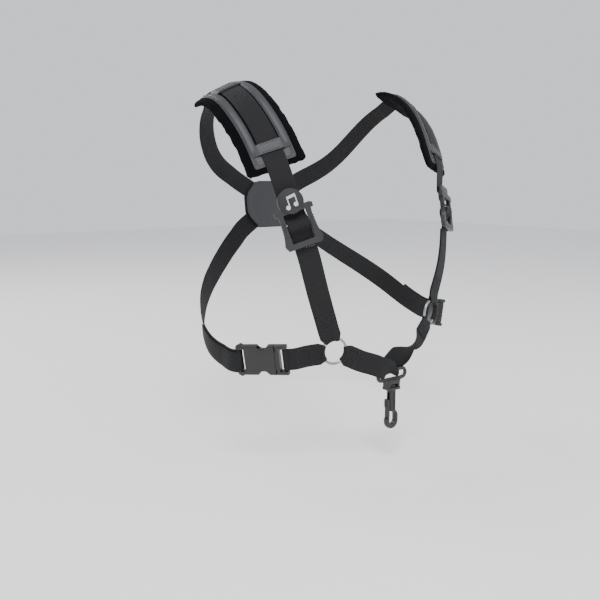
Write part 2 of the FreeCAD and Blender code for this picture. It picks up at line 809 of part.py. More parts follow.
def make_back_strap(side, route, yoke_lift):
    """The strap from the socket round the ribs to the yoke, and its folded-back tail."""
    socket_end = buckle_start + male_length + socket_length
    first = socket_end + 5.2
    half = webbing_thickness / 2
    low = body_gap + half
    bar_lift = buckle_lift + buckle_thickness / 2

    def lift(s):
        if s < first + 30.0:
            return eased(s, first, first + 20.0, bar_lift, low)
        return eased(s, route.length - 84.0, route.length - 57.0, low, yoke_lift)

    def tail_lift(s):
        return lift(s) + webbing_thickness + layer_gap + eased(s, first, first + 20.0, 0.6, 0.0)

    outline = flat(-webbing_width / 2, webbing_width / 2, -half, half)
    split = first + side_end_length
    near = steps(first, split, 4.0)
    lengths = steps(split + layer_gap, route.length - 0.5, 10.0)
    write(band(route, near, lambda s: outline, lift), side + "_side_strap_end")
    write(band(route, lengths, lambda s: outline, lift), side + "_side_strap")
    tail = steps(first + 1.0, first + 22.0, 4.0) + steps(first + 22.0, first + tail_length, 8.0)[1:]
    lowered = flat(-webbing_width / 2 - tail_offset, webbing_width / 2 - tail_offset, -half, half)
    write(band(route, tail, lambda s: lowered, tail_lift), side + "_strap_tail")


def yoke_ply_solid(low, high):
    """One ply of the patch that holds the crossing, with clipped corners."""
    half, reach, clip = yoke_width / 2, yoke_height / 2, 17.0
    corners = [
        (clip - half, -reach), (half - clip, -reach), (half, clip - reach), (half, reach - clip),
        (half - clip, reach), (clip - half, reach), (-half, reach - clip), (-half, clip - reach),
    ]
    points = [Vector(x, y, low) for x, y in corners]
    return Part.Face(Part.makePolygon(points + points[:1])).extrude(Vector(0, 0, high - low))


def bail_bend(bail_bar, sign, r):
    """One rounded end of the bail, with a wire of the given radius."""
    drop = bail_height - bail_section
    x = bail_bar.x + sign * (bail_width - bail_height) / 2
    place = Vector(x, bail_bar.y, bail_bar.z - drop / 2)
    bend = Part.makeTorus(drop / 2, r, place, Vector(0, -1, 0))
    half = box(-20, 20, -20, 20, -20, 20)
    half.translate(Vector(x + sign * 20, place.y, place.z))
    return bend.common(half)


def free_strip(rows, thickness):
    """A strip through rows of a place and an across direction, hand-set where it twists."""
    places = [Vector(*row[:3]) for row in rows]
    sections = []
    for i, row in enumerate(rows):
        before, after = places[max(i - 1, 0)], places[min(i + 1, len(rows) - 1)]
        along = (after - before).normalize()
        across = Vector(*row[3:])
        across = (across - along * across.dot(along)).normalize()
        out = across.cross(along)
        sections.append([
            places[i] + across * (x * webbing_width / 2) + out * (z * thickness / 2)
            for x, z in ((-1, -1), (1, -1), (1, 1), (-1, 1))
        ])
    return loft(sections)


def front_strap(bail_bar):
    """The V between the rings: a sewn loop at each end, wrapped under the bail's top bar."""
    pieces = []
    ends = {}
    for side, rows in (("right", right_v), ("left", left_v)):
        route = Route(rows)
        pieces.append(looped_end(
            route,
            ring_frame(rows),
            v_sewn_length,
            lambda s: eased(s, ring_radius, ring_radius + 14.0, ring_lift, double_middle + 1.0),
        ))
        sections = []
        for s in (v_sewn_length - 6.0, v_sewn_length + 3.0):
            place, across, _, out = route.frame(s)
            place = place + out * (double_middle + 1.0)
            across = across * (1 if side == "right" else -1)
            sections.append((place.x, place.y, place.z, across.x, across.y, across.z))
        ends[side] = sections
    around = bail_section / 2 + layer_gap + webbing_thickness / 2
    x, y, z = bail_bar.x, bail_bar.y, bail_bar.z
    wrap = [
        (x - 27, y - 2.4, z + 9.5, -0.50, 0.0, -0.86),
        (x - 20, y - around - 0.8, z + 6.2, -0.62, 0.0, -0.78),
        (x - 13, y - around - 0.5, z + 3.4, -0.84, 0.0, -0.54),
        (x - 8, y - around, z + 0.8, -0.97, 0.0, -0.2),
        (x - 6.5, y - 0.75 * around, z - 0.75 * around, -1, 0, 0),
        (x - 5, y, z - around, -1, 0, 0),
        (x - 3, y + 0.78 * around, z - 0.72 * around, -1, 0, 0),
        (x - 0.5, y + around + 0.5, z + 0.6, -1, 0, 0),
        (x + 4, y + around + 2.8, z + 5.4, -0.98, 0.0, 0.1),
        (x + 16, y + 6.5, z + 12.5, -0.76, 0.45, 0.4),
        (x + 28, y + 4.0, z + 19.5, 0.0, 0.99, 0.1),
        (x + 40, y + 2.5, z + 26.5, 0.62, 0.66, -0.42),
    ]
    path = ends["right"] + wrap + ends["left"][::-1]
    strip = free_strip(path, webbing_thickness)
    for sign in (-1, 1):
        strip = strip.cut(bail_bend(bail_bar, sign, bail_section / 2 + layer_gap))
    pieces.append(strip)
    return pieces[0].fuse(pieces[1:])


def hook_bail(bail_bar):
    """The flat loop for the strap, with the swivel block moulded below it."""
    r = bail_section / 2
    drop = bail_height - bail_section
    straight = bail_width - bail_height
    x, y, z = bail_bar.x, bail_bar.y, bail_bar.z
    pieces = []
    for level in (z, z - drop):
        pieces.append(rod(r, Vector(x - straight / 2, y, level), Vector(x + straight / 2, y, level)))
    for sign in (-1, 1):
        pieces.append(bail_bend(bail_bar, sign, r))
    top = z - drop - r + 1.2
    low = top - block_height - plate_thickness
    block = box(-block_width / 2, block_width / 2, -block_depth / 2, block_depth / 2, low, top)
    shoulder = Part.Face(Part.makePolygon([
        Vector(-block_width / 2 - 3, -block_depth / 2 + 2.0, top + 1.0),
        Vector(block_width / 2 + 3, -block_depth / 2 + 2.0, top + 1.0),
        Vector(block_width / 2 - 1, -block_depth / 2 + 2.0, top - 4.0),
        Vector(1 - block_width / 2, -block_depth / 2 + 2.0, top - 4.0),
        Vector(-block_width / 2 - 3, -block_depth / 2 + 2.0, top + 1.0),
    ])).extrude(Vector(0, block_depth - 4.0, 0))
    waist = [
        box(-block_width, block_width, sign * block_depth / 2 - 1.6, sign * block_depth / 2 + 1.6,
            low + plate_thickness, top + 5)
        for sign in (-1, 1)
    ]
    block = block.cut(waist[0]).cut(waist[1]).fuse(shoulder)
    recess = box(
        -head_radius - 1.0, head_radius + 1.0, -block_depth, block_depth,
        low + plate_thickness, low + plate_thickness + head_thickness + 1.6,
    )
    bore = Part.makeCylinder(neck_radius + swivel_fit, 3 * plate_thickness, Vector(0, 0, low - 2))
    block = block.cut(recess).cut(bore)
    block = softened(block, 1.2, lambda e: abs(e.tangentAt(e.FirstParameter).z) > 0.99
                     and abs(e.CenterOfMass.x) > block_width / 2 - 0.1
                     and abs(e.CenterOfMass.y) > block_depth / 2 - 0.1)
    block.translate(Vector(x, y, 0))
    return pieces[0].fuse(pieces[1:] + [block]), low


def stadium(width, height, depth, top):
    """An upright slot shape with round ends, centred on x = 0 and y = 0, below a level."""
    r = width / 2
    a, b = Vector(-r, -depth / 2, top - r), Vector(r, -depth / 2, top - r)
    c, d = Vector(r, -depth / 2, top - height + r), Vector(-r, -depth / 2, top - height + r)
    edges = [
        Part.Arc(a, Vector(0, -depth / 2, top), b).toShape(), Part.makeLine(b, c),
        Part.Arc(c, Vector(0, -depth / 2, top - height), d).toShape(), Part.makeLine(d, a),
    ]
    return Part.Face(Part.Wire(edges)).extrude(Vector(0, depth, 0))


def hook_body(low):
    """The swivelling hook: head and neck in the block, a grooved shank and an open eye."""
    top = low - layer_gap
    head_base = low + plate_thickness + 0.3
    head = Part.makeCylinder(head_radius, head_thickness, Vector(0, 0, head_base))
    neck = Part.makeCylinder(neck_radius, head_base - top + 1.0, Vector(0, 0, top - 0.5))
    shank = box(
        -shank_width / 2, shank_width / 2, -shank_depth / 2, shank_depth / 2,
        top - shank_length - 4.0, top,
    )
    shank = softened(shank, 1.6, lambda e: abs(e.tangentAt(e.FirstParameter).z) > 0.99)
    for sign in (-1, 1):
        groove = box(-1.3, 1.3, sign * shank_depth / 2 - 0.7, sign * shank_depth / 2 + 0.7,
                     top - shank_length + 2.0, top - 3.0)
        shank = shank.cut(groove)
    eye_top = top - shank_length + 1.5
    eye = stadium(eye_width, eye_height + 1.5, eye_depth, eye_top)
    rim = [e for e in eye.Edges]
    eye = eye.makeFillet(1.5, rim)
    hole = stadium(eye_width - 2 * eye_section, eye_height - 6.0, 20.0, eye_top - 2.0)
    gap = box(
        -eye_width, -eye_section / 2, -10, 10,
        eye_top - 2.5 - hook_gap, eye_top - 1.0,
    )
    slot = box(
        -shank_width, spring_radius - 0.6, -spring_radius - 0.5, spring_radius + 0.5,
        top - shank_length + 1.0, top - 3.0,
    )
    hook = head.fuse([neck, shank, eye]).cut(slot)
    channel = box(
        -eye_width, -shank_width / 2 - 0.05, -10, 10, eye_top - 2.0, top - shank_length + 12.0,
    )
    return hook.cut(channel).cut(hole).cut(gap)


def thumb_slide(low):
    """The ribbed slide on the hook's side; its lower end shuts the eye's gap."""
    top = low - layer_gap
    right = -shank_width / 2 - slide_fit
    left = right - slide_width
    upper = top - 11.5
    bottom = upper - slide_length
    body = box(left + 0.9, right, -2.8, 2.8, bottom, upper)
    grip = box(left, left + 1.5, -2.8, 2.8, upper - 9.2, upper)
    ribs = [box(left - 0.6, left + 0.5, -2.8, 2.8, upper - 1.4 - 2.0 * i, upper - 0.4 - 2.0 * i) for i in range(5)]
    tongue_low = upper - 13.0
    tongue = box(
        right - 0.5, spring_radius - 0.9, -spring_radius - 0.2, spring_radius + 0.2,
        tongue_low, tongue_low + 9.0,
    )
    return body.fuse([grip, tongue] + ribs), tongue_low + 9.0


def slide_spring(low, tongue_top):
    """The coil between the slide's tongue and the top of the shank's slot."""
    fixed = low - layer_gap - 3.2
    length = fixed - tongue_top - 0.2
    pitch = (length - spring_wire) / spring_turns
    mean = spring_radius - spring_wire / 2
    helix = Part.makeHelix(pitch, pitch * spring_turns, mean)
    profile = Part.Wire([Part.makeCircle(spring_wire / 2, Vector(mean, 0, 0), Vector(0, 1, 0))])
    coil = Part.Wire(helix).makePipeShell([profile], True, True)
    coil.translate(Vector(-spring_radius - 0.2, 0, tongue_top + 0.1 + spring_wire / 2))
    return coil, fixed


os.makedirs("parts", exist_ok=True)

yoke_low = body_gap + yoke_ply + yoke_gap + webbing_thickness / 2
yoke_high = yoke_low + webbing_thickness + yoke_gap

right_frame = make_front("right", right_front, round_tab(), yoke_low)
left_frame = make_front("left", left_front, square_tab(), yoke_high)
plate, plate_top = badge()
write(seat(plate, right_frame), "badge")
write(seat(badge_motif(plate_top), right_frame), "badge_motif")

for side, rows, lift_at_yoke in (("right", right_side, yoke_high), ("left", left_side, yoke_low)):
    side_route = make_side(side, rows)
    make_back_strap(side, side_route, lift_at_yoke)

yoke_centre = at(right_front[-1])
yoke_out = Vector(*right_front[-1][3:]).normalize()
yoke_across = Vector(-1, 0, 0)
yoke_frame = (yoke_centre, yoke_across, yoke_out.cross(yoke_across), yoke_out)
inner_ply = yoke_ply_solid(body_gap, body_gap + yoke_ply)
outer_low = yoke_high + webbing_thickness / 2 + yoke_gap
outer_ply = yoke_ply_solid(outer_low, outer_low + yoke_ply)
write(seat(inner_ply, yoke_frame), "yoke_inner_ply")
write(seat(outer_ply, yoke_frame), "yoke_outer_ply")

bar = Vector(
    bail_place[0],
    bail_place[1] * chest_depth / plain_depth,
    bail_place[2] * ring_drop / plain_drop,
)
write(front_strap(bar), "front_strap")
bail, plate_low = hook_bail(bar)
write(bail, "hook_bail")
hook_place = Vector(bar.x, bar.y, 0)
hook = hook_body(plate_low)
slide, tongue_top = thumb_slide(plate_low)
spring, spring_top = slide_spring(plate_low, tongue_top)
for shape, node in ((hook, "hook_body"), (slide, "hook_thumb_slide"), (spring, "hook_spring")):
    shape.translate(hook_place)
    write(shape, node)
print("spring fixed end", round(spring_top, 3), "plate low", round(plate_low, 3))
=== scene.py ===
import json
import math
import random

import bmesh
import bpy
import numpy as np
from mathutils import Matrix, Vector

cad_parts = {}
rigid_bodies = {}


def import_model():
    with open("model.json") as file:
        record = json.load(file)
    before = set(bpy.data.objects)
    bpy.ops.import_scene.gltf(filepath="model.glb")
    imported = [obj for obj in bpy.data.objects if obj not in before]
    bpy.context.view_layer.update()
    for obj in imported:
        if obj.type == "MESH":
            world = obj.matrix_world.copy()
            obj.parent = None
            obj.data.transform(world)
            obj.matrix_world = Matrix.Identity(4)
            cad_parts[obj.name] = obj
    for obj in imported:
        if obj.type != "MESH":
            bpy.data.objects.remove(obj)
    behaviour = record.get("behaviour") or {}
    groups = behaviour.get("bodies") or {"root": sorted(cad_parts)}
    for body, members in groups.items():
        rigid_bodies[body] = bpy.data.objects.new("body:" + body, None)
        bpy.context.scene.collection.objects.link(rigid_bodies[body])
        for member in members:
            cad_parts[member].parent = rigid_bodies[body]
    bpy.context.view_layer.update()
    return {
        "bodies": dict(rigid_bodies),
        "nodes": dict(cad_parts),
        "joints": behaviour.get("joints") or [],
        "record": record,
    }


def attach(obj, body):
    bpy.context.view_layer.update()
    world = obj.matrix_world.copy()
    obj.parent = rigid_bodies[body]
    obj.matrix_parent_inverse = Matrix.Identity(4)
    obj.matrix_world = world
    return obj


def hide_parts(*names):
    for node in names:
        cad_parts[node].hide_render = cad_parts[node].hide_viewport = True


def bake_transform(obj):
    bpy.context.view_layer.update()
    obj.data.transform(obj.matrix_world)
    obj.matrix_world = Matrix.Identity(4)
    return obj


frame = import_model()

# Two-shoulder saxophone harness. Metres, +Z up, the wearer faces -Y.
# Lengths in the tables below are in millimetres and go through mm().

harness = {
    "webbingWidth": 25.0, "webbingThickness": 1.4, "bodyGap": 0.3, "layerGap": 0.3,
    "waviness": 0.25, "columns": 13,
}
padSizes = {
    "length": 142.0, "width": 71.0, "thickness": 8.0, "toAdjuster": 54.0, "start": 18.0,
    "crown": 1.6, "fill": 0.7,
}
coverSizes = {
    "start": 5.0, "width": 50.0, "thickness": 1.2, "windowMargin": 22.0, "railWidth": 9.0,
    "railHeight": 3.2, "bridgeLength": 12.0, "bridgeOverlap": 3.5, "stitchInset": 2.4,
}
adjusterSizes = {
    "length": 46.0, "base": 3.4, "thickness": 5.0, "barRadius": 1.8, "barAt": 1.5, "badgeRadius": 13.9,
}
ringSizes = {"radius": 15.0, "wire": 1.5, "clearance": 0.3, "halfAngle": 36.0}
buckleSizes = {
    "start": 52.0, "maleLength": 14.0, "socketLength": 47.0, "lift": 1.0, "thickness": 9.6,
    "barRadius": 1.9, "barInset": 2.6,
}
bailSizes = {"x": 0.5, "y": -103.5, "z": -345.0, "section": 4.4}
yokeSizes = {"width": 84.0, "height": 64.0, "ply": 1.8, "gap": 0.7, "clip": 17.0}
sideSizes = {"endLength": 32.0, "tailLength": 66.0, "tailOffset": 3.0, "chestEnd": 24.0, "vSewn": 34.0}
thread = {"length": 2.5, "pitch": 3.4, "radius": 0.34}
colours = {
    # the second webbing colour is a painted highlight for the crests of the weave
    "webbing": "#0f0f10", "webbingRibHighlight": "#1b1b1c", "plush": "#08080a", "leatherette": "#2c2c30",
    "plastic": "#1a1a1b", "thread": "#232325", "metal": "#8f9093", "badge": "#141416",
    "motif": "#d4d5d7", "floor": "#f2f1ef", "steel": "#8d8e90",
}

# Each row is a place on the wearer and the direction that faces outwards there.
routes = {
    "rightFront": [
        (-78, -86, -313, -0.30, -0.95, -0.05), (-87, -85, -283, -0.33, -0.94, -0.06),
        (-102, -83, -235, -0.40, -0.91, -0.04), (-111, -79, -198, -0.46, -0.88, 0.10),
        (-118, -72, -170, -0.49, -0.84, 0.22), (-126, -57, -127, -0.49, -0.83, 0.26),
        (-130, -48, -106, -0.48, -0.79, 0.38), (-135, -29, -72, -0.45, -0.74, 0.50),
        (-141, -5, -42, -0.44, -0.58, 0.69), (-143, 22, -25, -0.42, -0.25, 0.87),
        (-143, 50, -24, -0.42, 0.15, 0.90), (-137, 80, -38, -0.41, 0.54, 0.74),
        (-120, 110, -70, -0.36, 0.82, 0.45), (-92, 130, -99, -0.22, 0.95, 0.15),
        (-52, 140, -121, -0.01, 0.99, -0.115), (-26, 138, -136.5, 0.0, 0.99, -0.125),
        (0, 136, -152, 0.0, 0.99, -0.13),
    ],
    "leftFront": [
        (79, -87, -284, 0.28, -0.96, -0.06), (91, -85, -258, 0.33, -0.94, -0.06),
        (104, -83, -226, 0.39, -0.92, 0.00), (112, -79, -193, 0.45, -0.88, 0.10),
        (118, -72, -160, 0.47, -0.85, 0.22), (120, -62, -130, 0.46, -0.84, 0.26),
        (120, -52, -106, 0.44, -0.81, 0.38), (125, -34, -73, 0.43, -0.76, 0.50),
        (132, -8, -42, 0.43, -0.60, 0.67), (136, 20, -24, 0.42, -0.25, 0.87),
        (138, 50, -22, 0.42, 0.15, 0.90), (134, 80, -36, 0.41, 0.54, 0.74),
        (118, 110, -69, 0.36, 0.82, 0.45), (92, 130, -99, 0.22, 0.95, 0.15),
        (52, 140, -121, 0.01, 0.99, -0.115), (26, 138, -136.5, 0.0, 0.99, -0.125),
        (0, 136, -152, 0.0, 0.99, -0.13),
    ],
    "rightSide": [
        (-78, -86, -313, -0.30, -0.95, -0.05), (-92, -81, -315, -0.42, -0.90, -0.07),
        (-109, -72, -318, -0.58, -0.80, -0.10), (-124, -60, -320, -0.80, -0.58, -0.13),
        (-141, -34, -322, -0.85, -0.50, -0.16), (-158, -8, -324, -0.88, -0.44, -0.18),
        (-167, 16, -319, -0.97, -0.12, -0.20), (-168, 42, -305, -0.95, 0.22, -0.22),
        (-158, 68, -282, -0.83, 0.50, -0.24), (-136, 92, -255, -0.62, 0.74, -0.26),
        (-98, 116, -222, -0.30, 0.92, -0.25), (-54, 131.5, -187, -0.01, 0.99, -0.145),
        (-27, 134, -169.5, 0.0, 0.99, -0.135), (0, 136, -152, 0.0, 0.99, -0.13),
    ],
    "leftSide": [
        (79, -87, -284, 0.28, -0.96, -0.06), (93, -82, -287, 0.42, -0.90, -0.07),
        (110, -73, -290, 0.58, -0.80, -0.10), (125, -61, -293, 0.80, -0.58, -0.13),
        (143, -36, -297, 0.85, -0.50, -0.16), (160, -10, -301, 0.88, -0.44, -0.18),
        (169, 14, -299, 0.97, -0.12, -0.20), (170, 42, -289, 0.95, 0.22, -0.22),
        (159, 68, -270, 0.83, 0.50, -0.24), (136, 92, -247, 0.62, 0.74, -0.26),
        (98, 116, -218, 0.30, 0.92, -0.25), (54, 131.5, -187, 0.01, 0.99, -0.145),
        (27, 134, -169.5, 0.0, 0.99, -0.135), (0, 136, -152, 0.0, 0.99, -0.13),
    ],
    "rightV": [
        (-78, -86, -313, -0.30, -0.95, -0.05), (-60, -92, -321, -0.20, -0.97, -0.02),
        (-38, -97, -332, -0.10, -0.98, 0.10), (-15, -101, -341, -0.05, -0.93, 0.35),
    ],
    "leftV": [
        (79, -87, -284, 0.28, -0.96, -0.06), (68, -91, -298, 0.26, -0.97, -0.04),
        (50, -94, -318, 0.10, -0.99, -0.02), (30, -95, -334, 0.05, -0.99, -0.02),
    ],
}


def mm(value):
    return value * 0.001


# Smooth values at even knots through the given ones.
def spline(knots, values, count):
    t = np.array(knots, float)
    y = np.array(values, float)
    n = len(t)
    h = np.diff(t)

    def endSlope(ts, ys):
        total = 0.0
        for i in range(4):
            for k in range(4):
                if k == i:
                    continue
                term = 1.0 / (ts[i] - ts[k])
                for j in range(4):
                    if j not in (i, k):
                        term *= (ts[0] - ts[j]) / (ts[i] - ts[j])
                total = total + term * ys[i]
        return total

    a = np.zeros((n, n))
    b = np.zeros((n, y.shape[1]))
    a[0, 0], a[0, 1] = 2 * h[0], h[0]
    b[0] = 6 * ((y[1] - y[0]) / h[0] - endSlope(t[:4], y[:4]))
    a[-1, -1], a[-1, -2] = 2 * h[-1], h[-1]
    b[-1] = 6 * (endSlope(t[::-1][:4], y[::-1][:4]) - (y[-1] - y[-2]) / h[-1])
    for i in range(1, n - 1):
        a[i, i - 1], a[i, i], a[i, i + 1] = h[i - 1], 2 * (h[i - 1] + h[i]), h[i]
        b[i] = 6 * ((y[i + 1] - y[i]) / h[i] - (y[i] - y[i - 1]) / h[i - 1])
    m = np.linalg.solve(a, b)
    x = np.linspace(t[0], t[-1], count)
    k = np.clip(np.searchsorted(t, x) - 1, 0, n - 2)
    d0 = (t[k + 1] - x)[:, None]
    d1 = (x - t[k])[:, None]
    hk = h[k][:, None]
    return (
        m[k] * d0 ** 3 / (6 * hk) + m[k + 1] * d1 ** 3 / (6 * hk)
        + (y[k] / hk - m[k] * hk / 6) * d0 + (y[k + 1] / hk - m[k + 1] * hk / 6) * d1
    )


# A smooth line over the wearer, measured by length, in millimetres.
class Line:

    def __init__(self, rows):
        rows = np.array(rows, float)
        gaps = np.linalg.norm(np.diff(rows[:, :3], axis=0), axis=1)
        knots = np.concatenate([[0], np.cumsum(gaps)])
        self.table = spline(knots, rows, 1500)
        moved = np.linalg.norm(np.diff(self.table[:, :3], axis=0), axis=1)
        self.lengths = np.concatenate([[0], np.cumsum(moved)])
        self.length = self.lengths[-1]

    def value(self, s):
        return np.array([np.interp(s, self.lengths, self.table[:, i]) for i in range(6)])

    # Place, across, along and outward directions at a length.
    def at(self, s):
        here = self.value(s)
        low, high = max(s - 0.8, 0.0), min(s + 0.8, self.length)
        along = Vector(self.value(high)[:3] - self.value(low)[:3]).normalized()
        out = Vector(here[3:])
        out = (out - along * out.dot(along)).normalized()
        place = Vector(here[:3])
        if s > self.length:
            place += along * (s - self.length)
        return place, along.cross(out), along, out

    def nearest(self, place):
        gaps = np.linalg.norm(self.table[:, :3] - np.array(place), axis=1)
        return self.lengths[int(np.argmin(gaps))]


lines = {name: Line(rows) for name, rows in routes.items()}


def eased(s, start, end, low, high):
    u = min(1.0, max(0.0, (s - start) / (end - start)))
    return low + (high - low) * u * u * (3 - 2 * u)


def spread(start, end, pitch):
    count = max(2, int(round(abs(end - start) / pitch)))
    return [start + (end - start) * i / count for i in range(count + 1)]


def across(width, count=None):
    count = count or harness["columns"]
    return [width * (i / (count - 1) - 0.5) for i in range(count)]



# An sRGB hex colour as linear red, green, blue, alpha.
def linear(text):
    parts = [int(text[i:i + 2], 16) / 255 for i in (1, 3, 5)]
    return tuple(c / 12.92 if c <= 0.04045 else ((c + 0.055) / 1.055) ** 2.4 for c in parts) + (1.0,)


# Adds one shader node, sets its sockets or properties, and links its inputs.
def addNode(tree, kind, settings=None, links=None):
    node = tree.nodes.new(kind)
    for key, value in (settings or {}).items():
        if isinstance(key, str) and key in node.inputs:
            node.inputs[key].default_value = value
        elif isinstance(key, int):
            node.inputs[key].default_value = value
        else:
            setattr(node, key, value)
    for key, source in (links or {}).items():
        tree.links.new(source, node.inputs[key])
    return node


def newMaterial(name, settings):
    material = bpy.data.materials.new(name)
    material.use_nodes = True
    shader = material.node_tree.nodes["Principled BSDF"]
    for key, value in settings.items():
        shader.inputs[key].default_value = value
    return material, material.node_tree, shader


# Colour between two values by a grey source.
def mixed(tree, shader, socket, low, high, source):
    mix = addNode(tree, "ShaderNodeMix", {"data_type": "RGBA"})
    mix.inputs[6].default_value = low
    mix.inputs[7].default_value = high
    tree.links.new(source, mix.inputs[0])
    tree.links.new(mix.outputs[2], shader.inputs[socket])
    return mix


# Stacks bump layers of (height source, distance in millimetres, strength).
def bumped(tree, shader, layers):
    previous = None
    for source, distance, strength in layers:
        bump = addNode(tree, "ShaderNodeBump", {"Strength": strength, "Distance": mm(distance)})
        tree.links.new(source, bump.inputs["Height"])
        if previous:
            tree.links.new(previous.outputs["Normal"], bump.inputs["Normal"])
        previous = bump
    tree.links.new(previous.outputs["Normal"], shader.inputs["Normal"])


# Woven nylon webbing: fine ribs along the strap crossed by picks, so it reads as a dull, tight weave, with
# painted highlight on the crests and painted shade in the grooves.
def wovenNylon():
    material, tree, shader = newMaterial("woven nylon webbing", {
        "Roughness": 0.7, "IOR": 1.53, "Specular IOR Level": 0.22, "Sheen Weight": 0.04,
        "Sheen Roughness": 0.5, "Sheen Tint": linear("#8a8a8c"),
    })
    uv = addNode(tree, "ShaderNodeUVMap", {"uv_map": "webbing"})
    split = addNode(tree, "ShaderNodeSeparateXYZ", links={0: uv.outputs[0]})

    def ribs(source, pitch, phase=None):
        # pitch in millimetres: 1.1 across and 1.5 along, coarser than real yarn so that it can be seen
        scaled = addNode(tree, "ShaderNodeMath", {"operation": "MULTIPLY", 1: 2 * math.pi / mm(pitch)})
        tree.links.new(source, scaled.inputs[0])
        value = scaled.outputs[0]
        if phase:
            added = addNode(tree, "ShaderNodeMath", {"operation": "ADD"}, {0: value, 1: phase})
            value = added.outputs[0]
        return addNode(tree, "ShaderNodeMath", {"operation": "SINE"}, {0: value}).outputs[0]

    columns = ribs(split.outputs[0], 2.2)
    turned = addNode(tree, "ShaderNodeMath", {"operation": "MULTIPLY", 1: 1.4}, {0: columns})
    picks = ribs(split.outputs[1], 1.6, turned.outputs[0])
    both = addNode(tree, "ShaderNodeMath", {"operation": "MULTIPLY_ADD", 1: 0.6}, {0: picks, 2: columns})
    cloud = addNode(tree, "ShaderNodeTexNoise", {"Scale": 60.0, "Detail": 3.0})
    fuzz = addNode(tree, "ShaderNodeTexNoise", {"Scale": 1400.0, "Detail": 2.0})
    bumped(tree, shader, [
        (both.outputs[0], 0.22, 0.75), (fuzz.outputs[0], 0.12, 0.5), (cloud.outputs[0], 0.6, 0.25),
    ])
    # painted light: the colour goes from the plain webbing colour in the weave grooves (painted shade) to a
    # lighter one on the crests (painted highlight), following the bump height
    shade = addNode(tree, "ShaderNodeMapRange", {"From Min": -1.6, "From Max": 1.6}, {0: both.outputs[0]})
    plain, ribHighlight = linear(colours["webbing"]), linear(colours["webbingRibHighlight"])
    mixed(tree, shader, "Base Color", plain, ribHighlight, shade.outputs[0])
    return material


# Short plush over foam: black pile with a soft sheen, so the pad edge looks deep and furry.
def plush():
    material, tree, shader = newMaterial("short plush fabric", {
        "Base Color": linear(colours["plush"]), "Roughness": 1.0, "IOR": 1.45,
        "Specular IOR Level": 0.1, "Sheen Weight": 0.06, "Sheen Roughness": 0.45,
        "Sheen Tint": linear("#6c6c70"),
    })
    tufts = addNode(tree, "ShaderNodeTexNoise", {"Scale": 900.0, "Detail": 4.0, "Roughness": 0.7})
    lie = addNode(tree, "ShaderNodeTexNoise", {"Scale": 110.0, "Detail": 3.0})
    bumped(tree, shader, [(tufts.outputs[0], 0.9, 1.0), (lie.outputs[0], 1.6, 0.6)])
    return material


# Grained leatherette: fine pebbles with small creases, charcoal with a low sheen.
def leatherette(name, colour):
    material, tree, shader = newMaterial(name, {"IOR": 1.5, "Roughness": 0.46, "Specular IOR Level": 0.45})
    pebbles = addNode(tree, "ShaderNodeTexVoronoi", {"Scale": 780.0, "Randomness": 1.0})
    noise = addNode(tree, "ShaderNodeTexNoise", {"Scale": 260.0, "Detail": 5.0, "Roughness": 0.65})
    broad = addNode(tree, "ShaderNodeTexNoise", {"Scale": 35.0, "Detail": 2.0})
    bumped(tree, shader, [
        (pebbles.outputs["Distance"], 0.1, 0.3), (noise.outputs[0], 0.12, 0.25), (broad.outputs[0], 0.6, 0.2),
    ])
    dark = tuple(0.85 * c for c in linear(colour)[:3]) + (1.0,)
    light = tuple(1.15 * c for c in linear(colour)[:3]) + (1.0,)
    mixed(tree, shader, "Base Color", dark, light, noise.outputs[0])
    rough = addNode(tree, "ShaderNodeMapRange", {"To Min": 0.38, "To Max": 0.58}, {0: noise.outputs[0]})
    tree.links.new(rough.outputs[0], shader.inputs["Roughness"])
    return material


# Moulded acetal: satin, faintly uneven skin, so highlights stay soft at the edges.
def mouldedPlastic(name, colour, roughness):
    material, tree, shader = newMaterial(name, {
        "Base Color": linear(colour), "IOR": 1.48, "Roughness": roughness,
    })
    fine = addNode(tree, "ShaderNodeTexNoise", {"Scale": 1500.0, "Detail": 3.0})
    wear = addNode(tree, "ShaderNodeTexNoise", {"Scale": 120.0, "Detail": 4.0})
    bumped(tree, shader, [(fine.outputs[0], 0.04, 0.5), (wear.outputs[0], 0.15, 0.15)])
    rough = addNode(
        tree, "ShaderNodeMapRange", {"To Min": roughness - 0.07, "To Max": roughness + 0.09},
        {0: wear.outputs[0]},
    )
    tree.links.new(rough.outputs[0], shader.inputs["Roughness"])
    return material


# Plated metal: grey, lightly brushed, gives the small bright glints.
def metal(name, colour, roughness):
    material, tree, shader = newMaterial(name, {
        "Base Color": linear(colour), "Metallic": 1.0, "Roughness": roughness,
    })
    wear = addNode(tree, "ShaderNodeTexNoise", {"Scale": 400.0, "Detail": 4.0})
    bumped(tree, shader, [(wear.outputs[0], 0.05, 0.2)])
    rough = addNode(
        tree, "ShaderNodeMapRange", {"To Min": roughness - 0.06, "To Max": roughness + 0.1},
        {0: wear.outputs[0]},
    )
    tree.links.new(rough.outputs[0], shader.inputs["Roughness"])
    return material


# Twisted sewing thread: slightly paler than what it sews, so the stitch lines show.
def spunThread():
    material, tree, shader = newMaterial("spun polyester thread", {
        "Base Color": linear(colours["thread"]), "Roughness": 0.7, "IOR": 1.5,
    })
    twist = addNode(tree, "ShaderNodeTexNoise", {"Scale": 2500.0, "Detail": 2.0})
    bumped(tree, shader, [(twist.outputs[0], 0.08, 0.5)])
    return material


materials = {
    "webbing": wovenNylon(), "plush": plush(),
    "leatherette": leatherette("grained leatherette", colours["leatherette"]),
    "plastic": mouldedPlastic("moulded acetal satin", colours["plastic"], 0.42),
    "metal": metal("plated steel wire", colours["metal"], 0.3),
    "steel": metal("drawn spring steel", colours["steel"], 0.3),
    "badge": mouldedPlastic("badge dark enamel", colours["badge"], 0.32),
    "motif": metal("badge polished metal", colours["motif"], 0.22),
    "thread": spunThread(),
}
print("materials done")



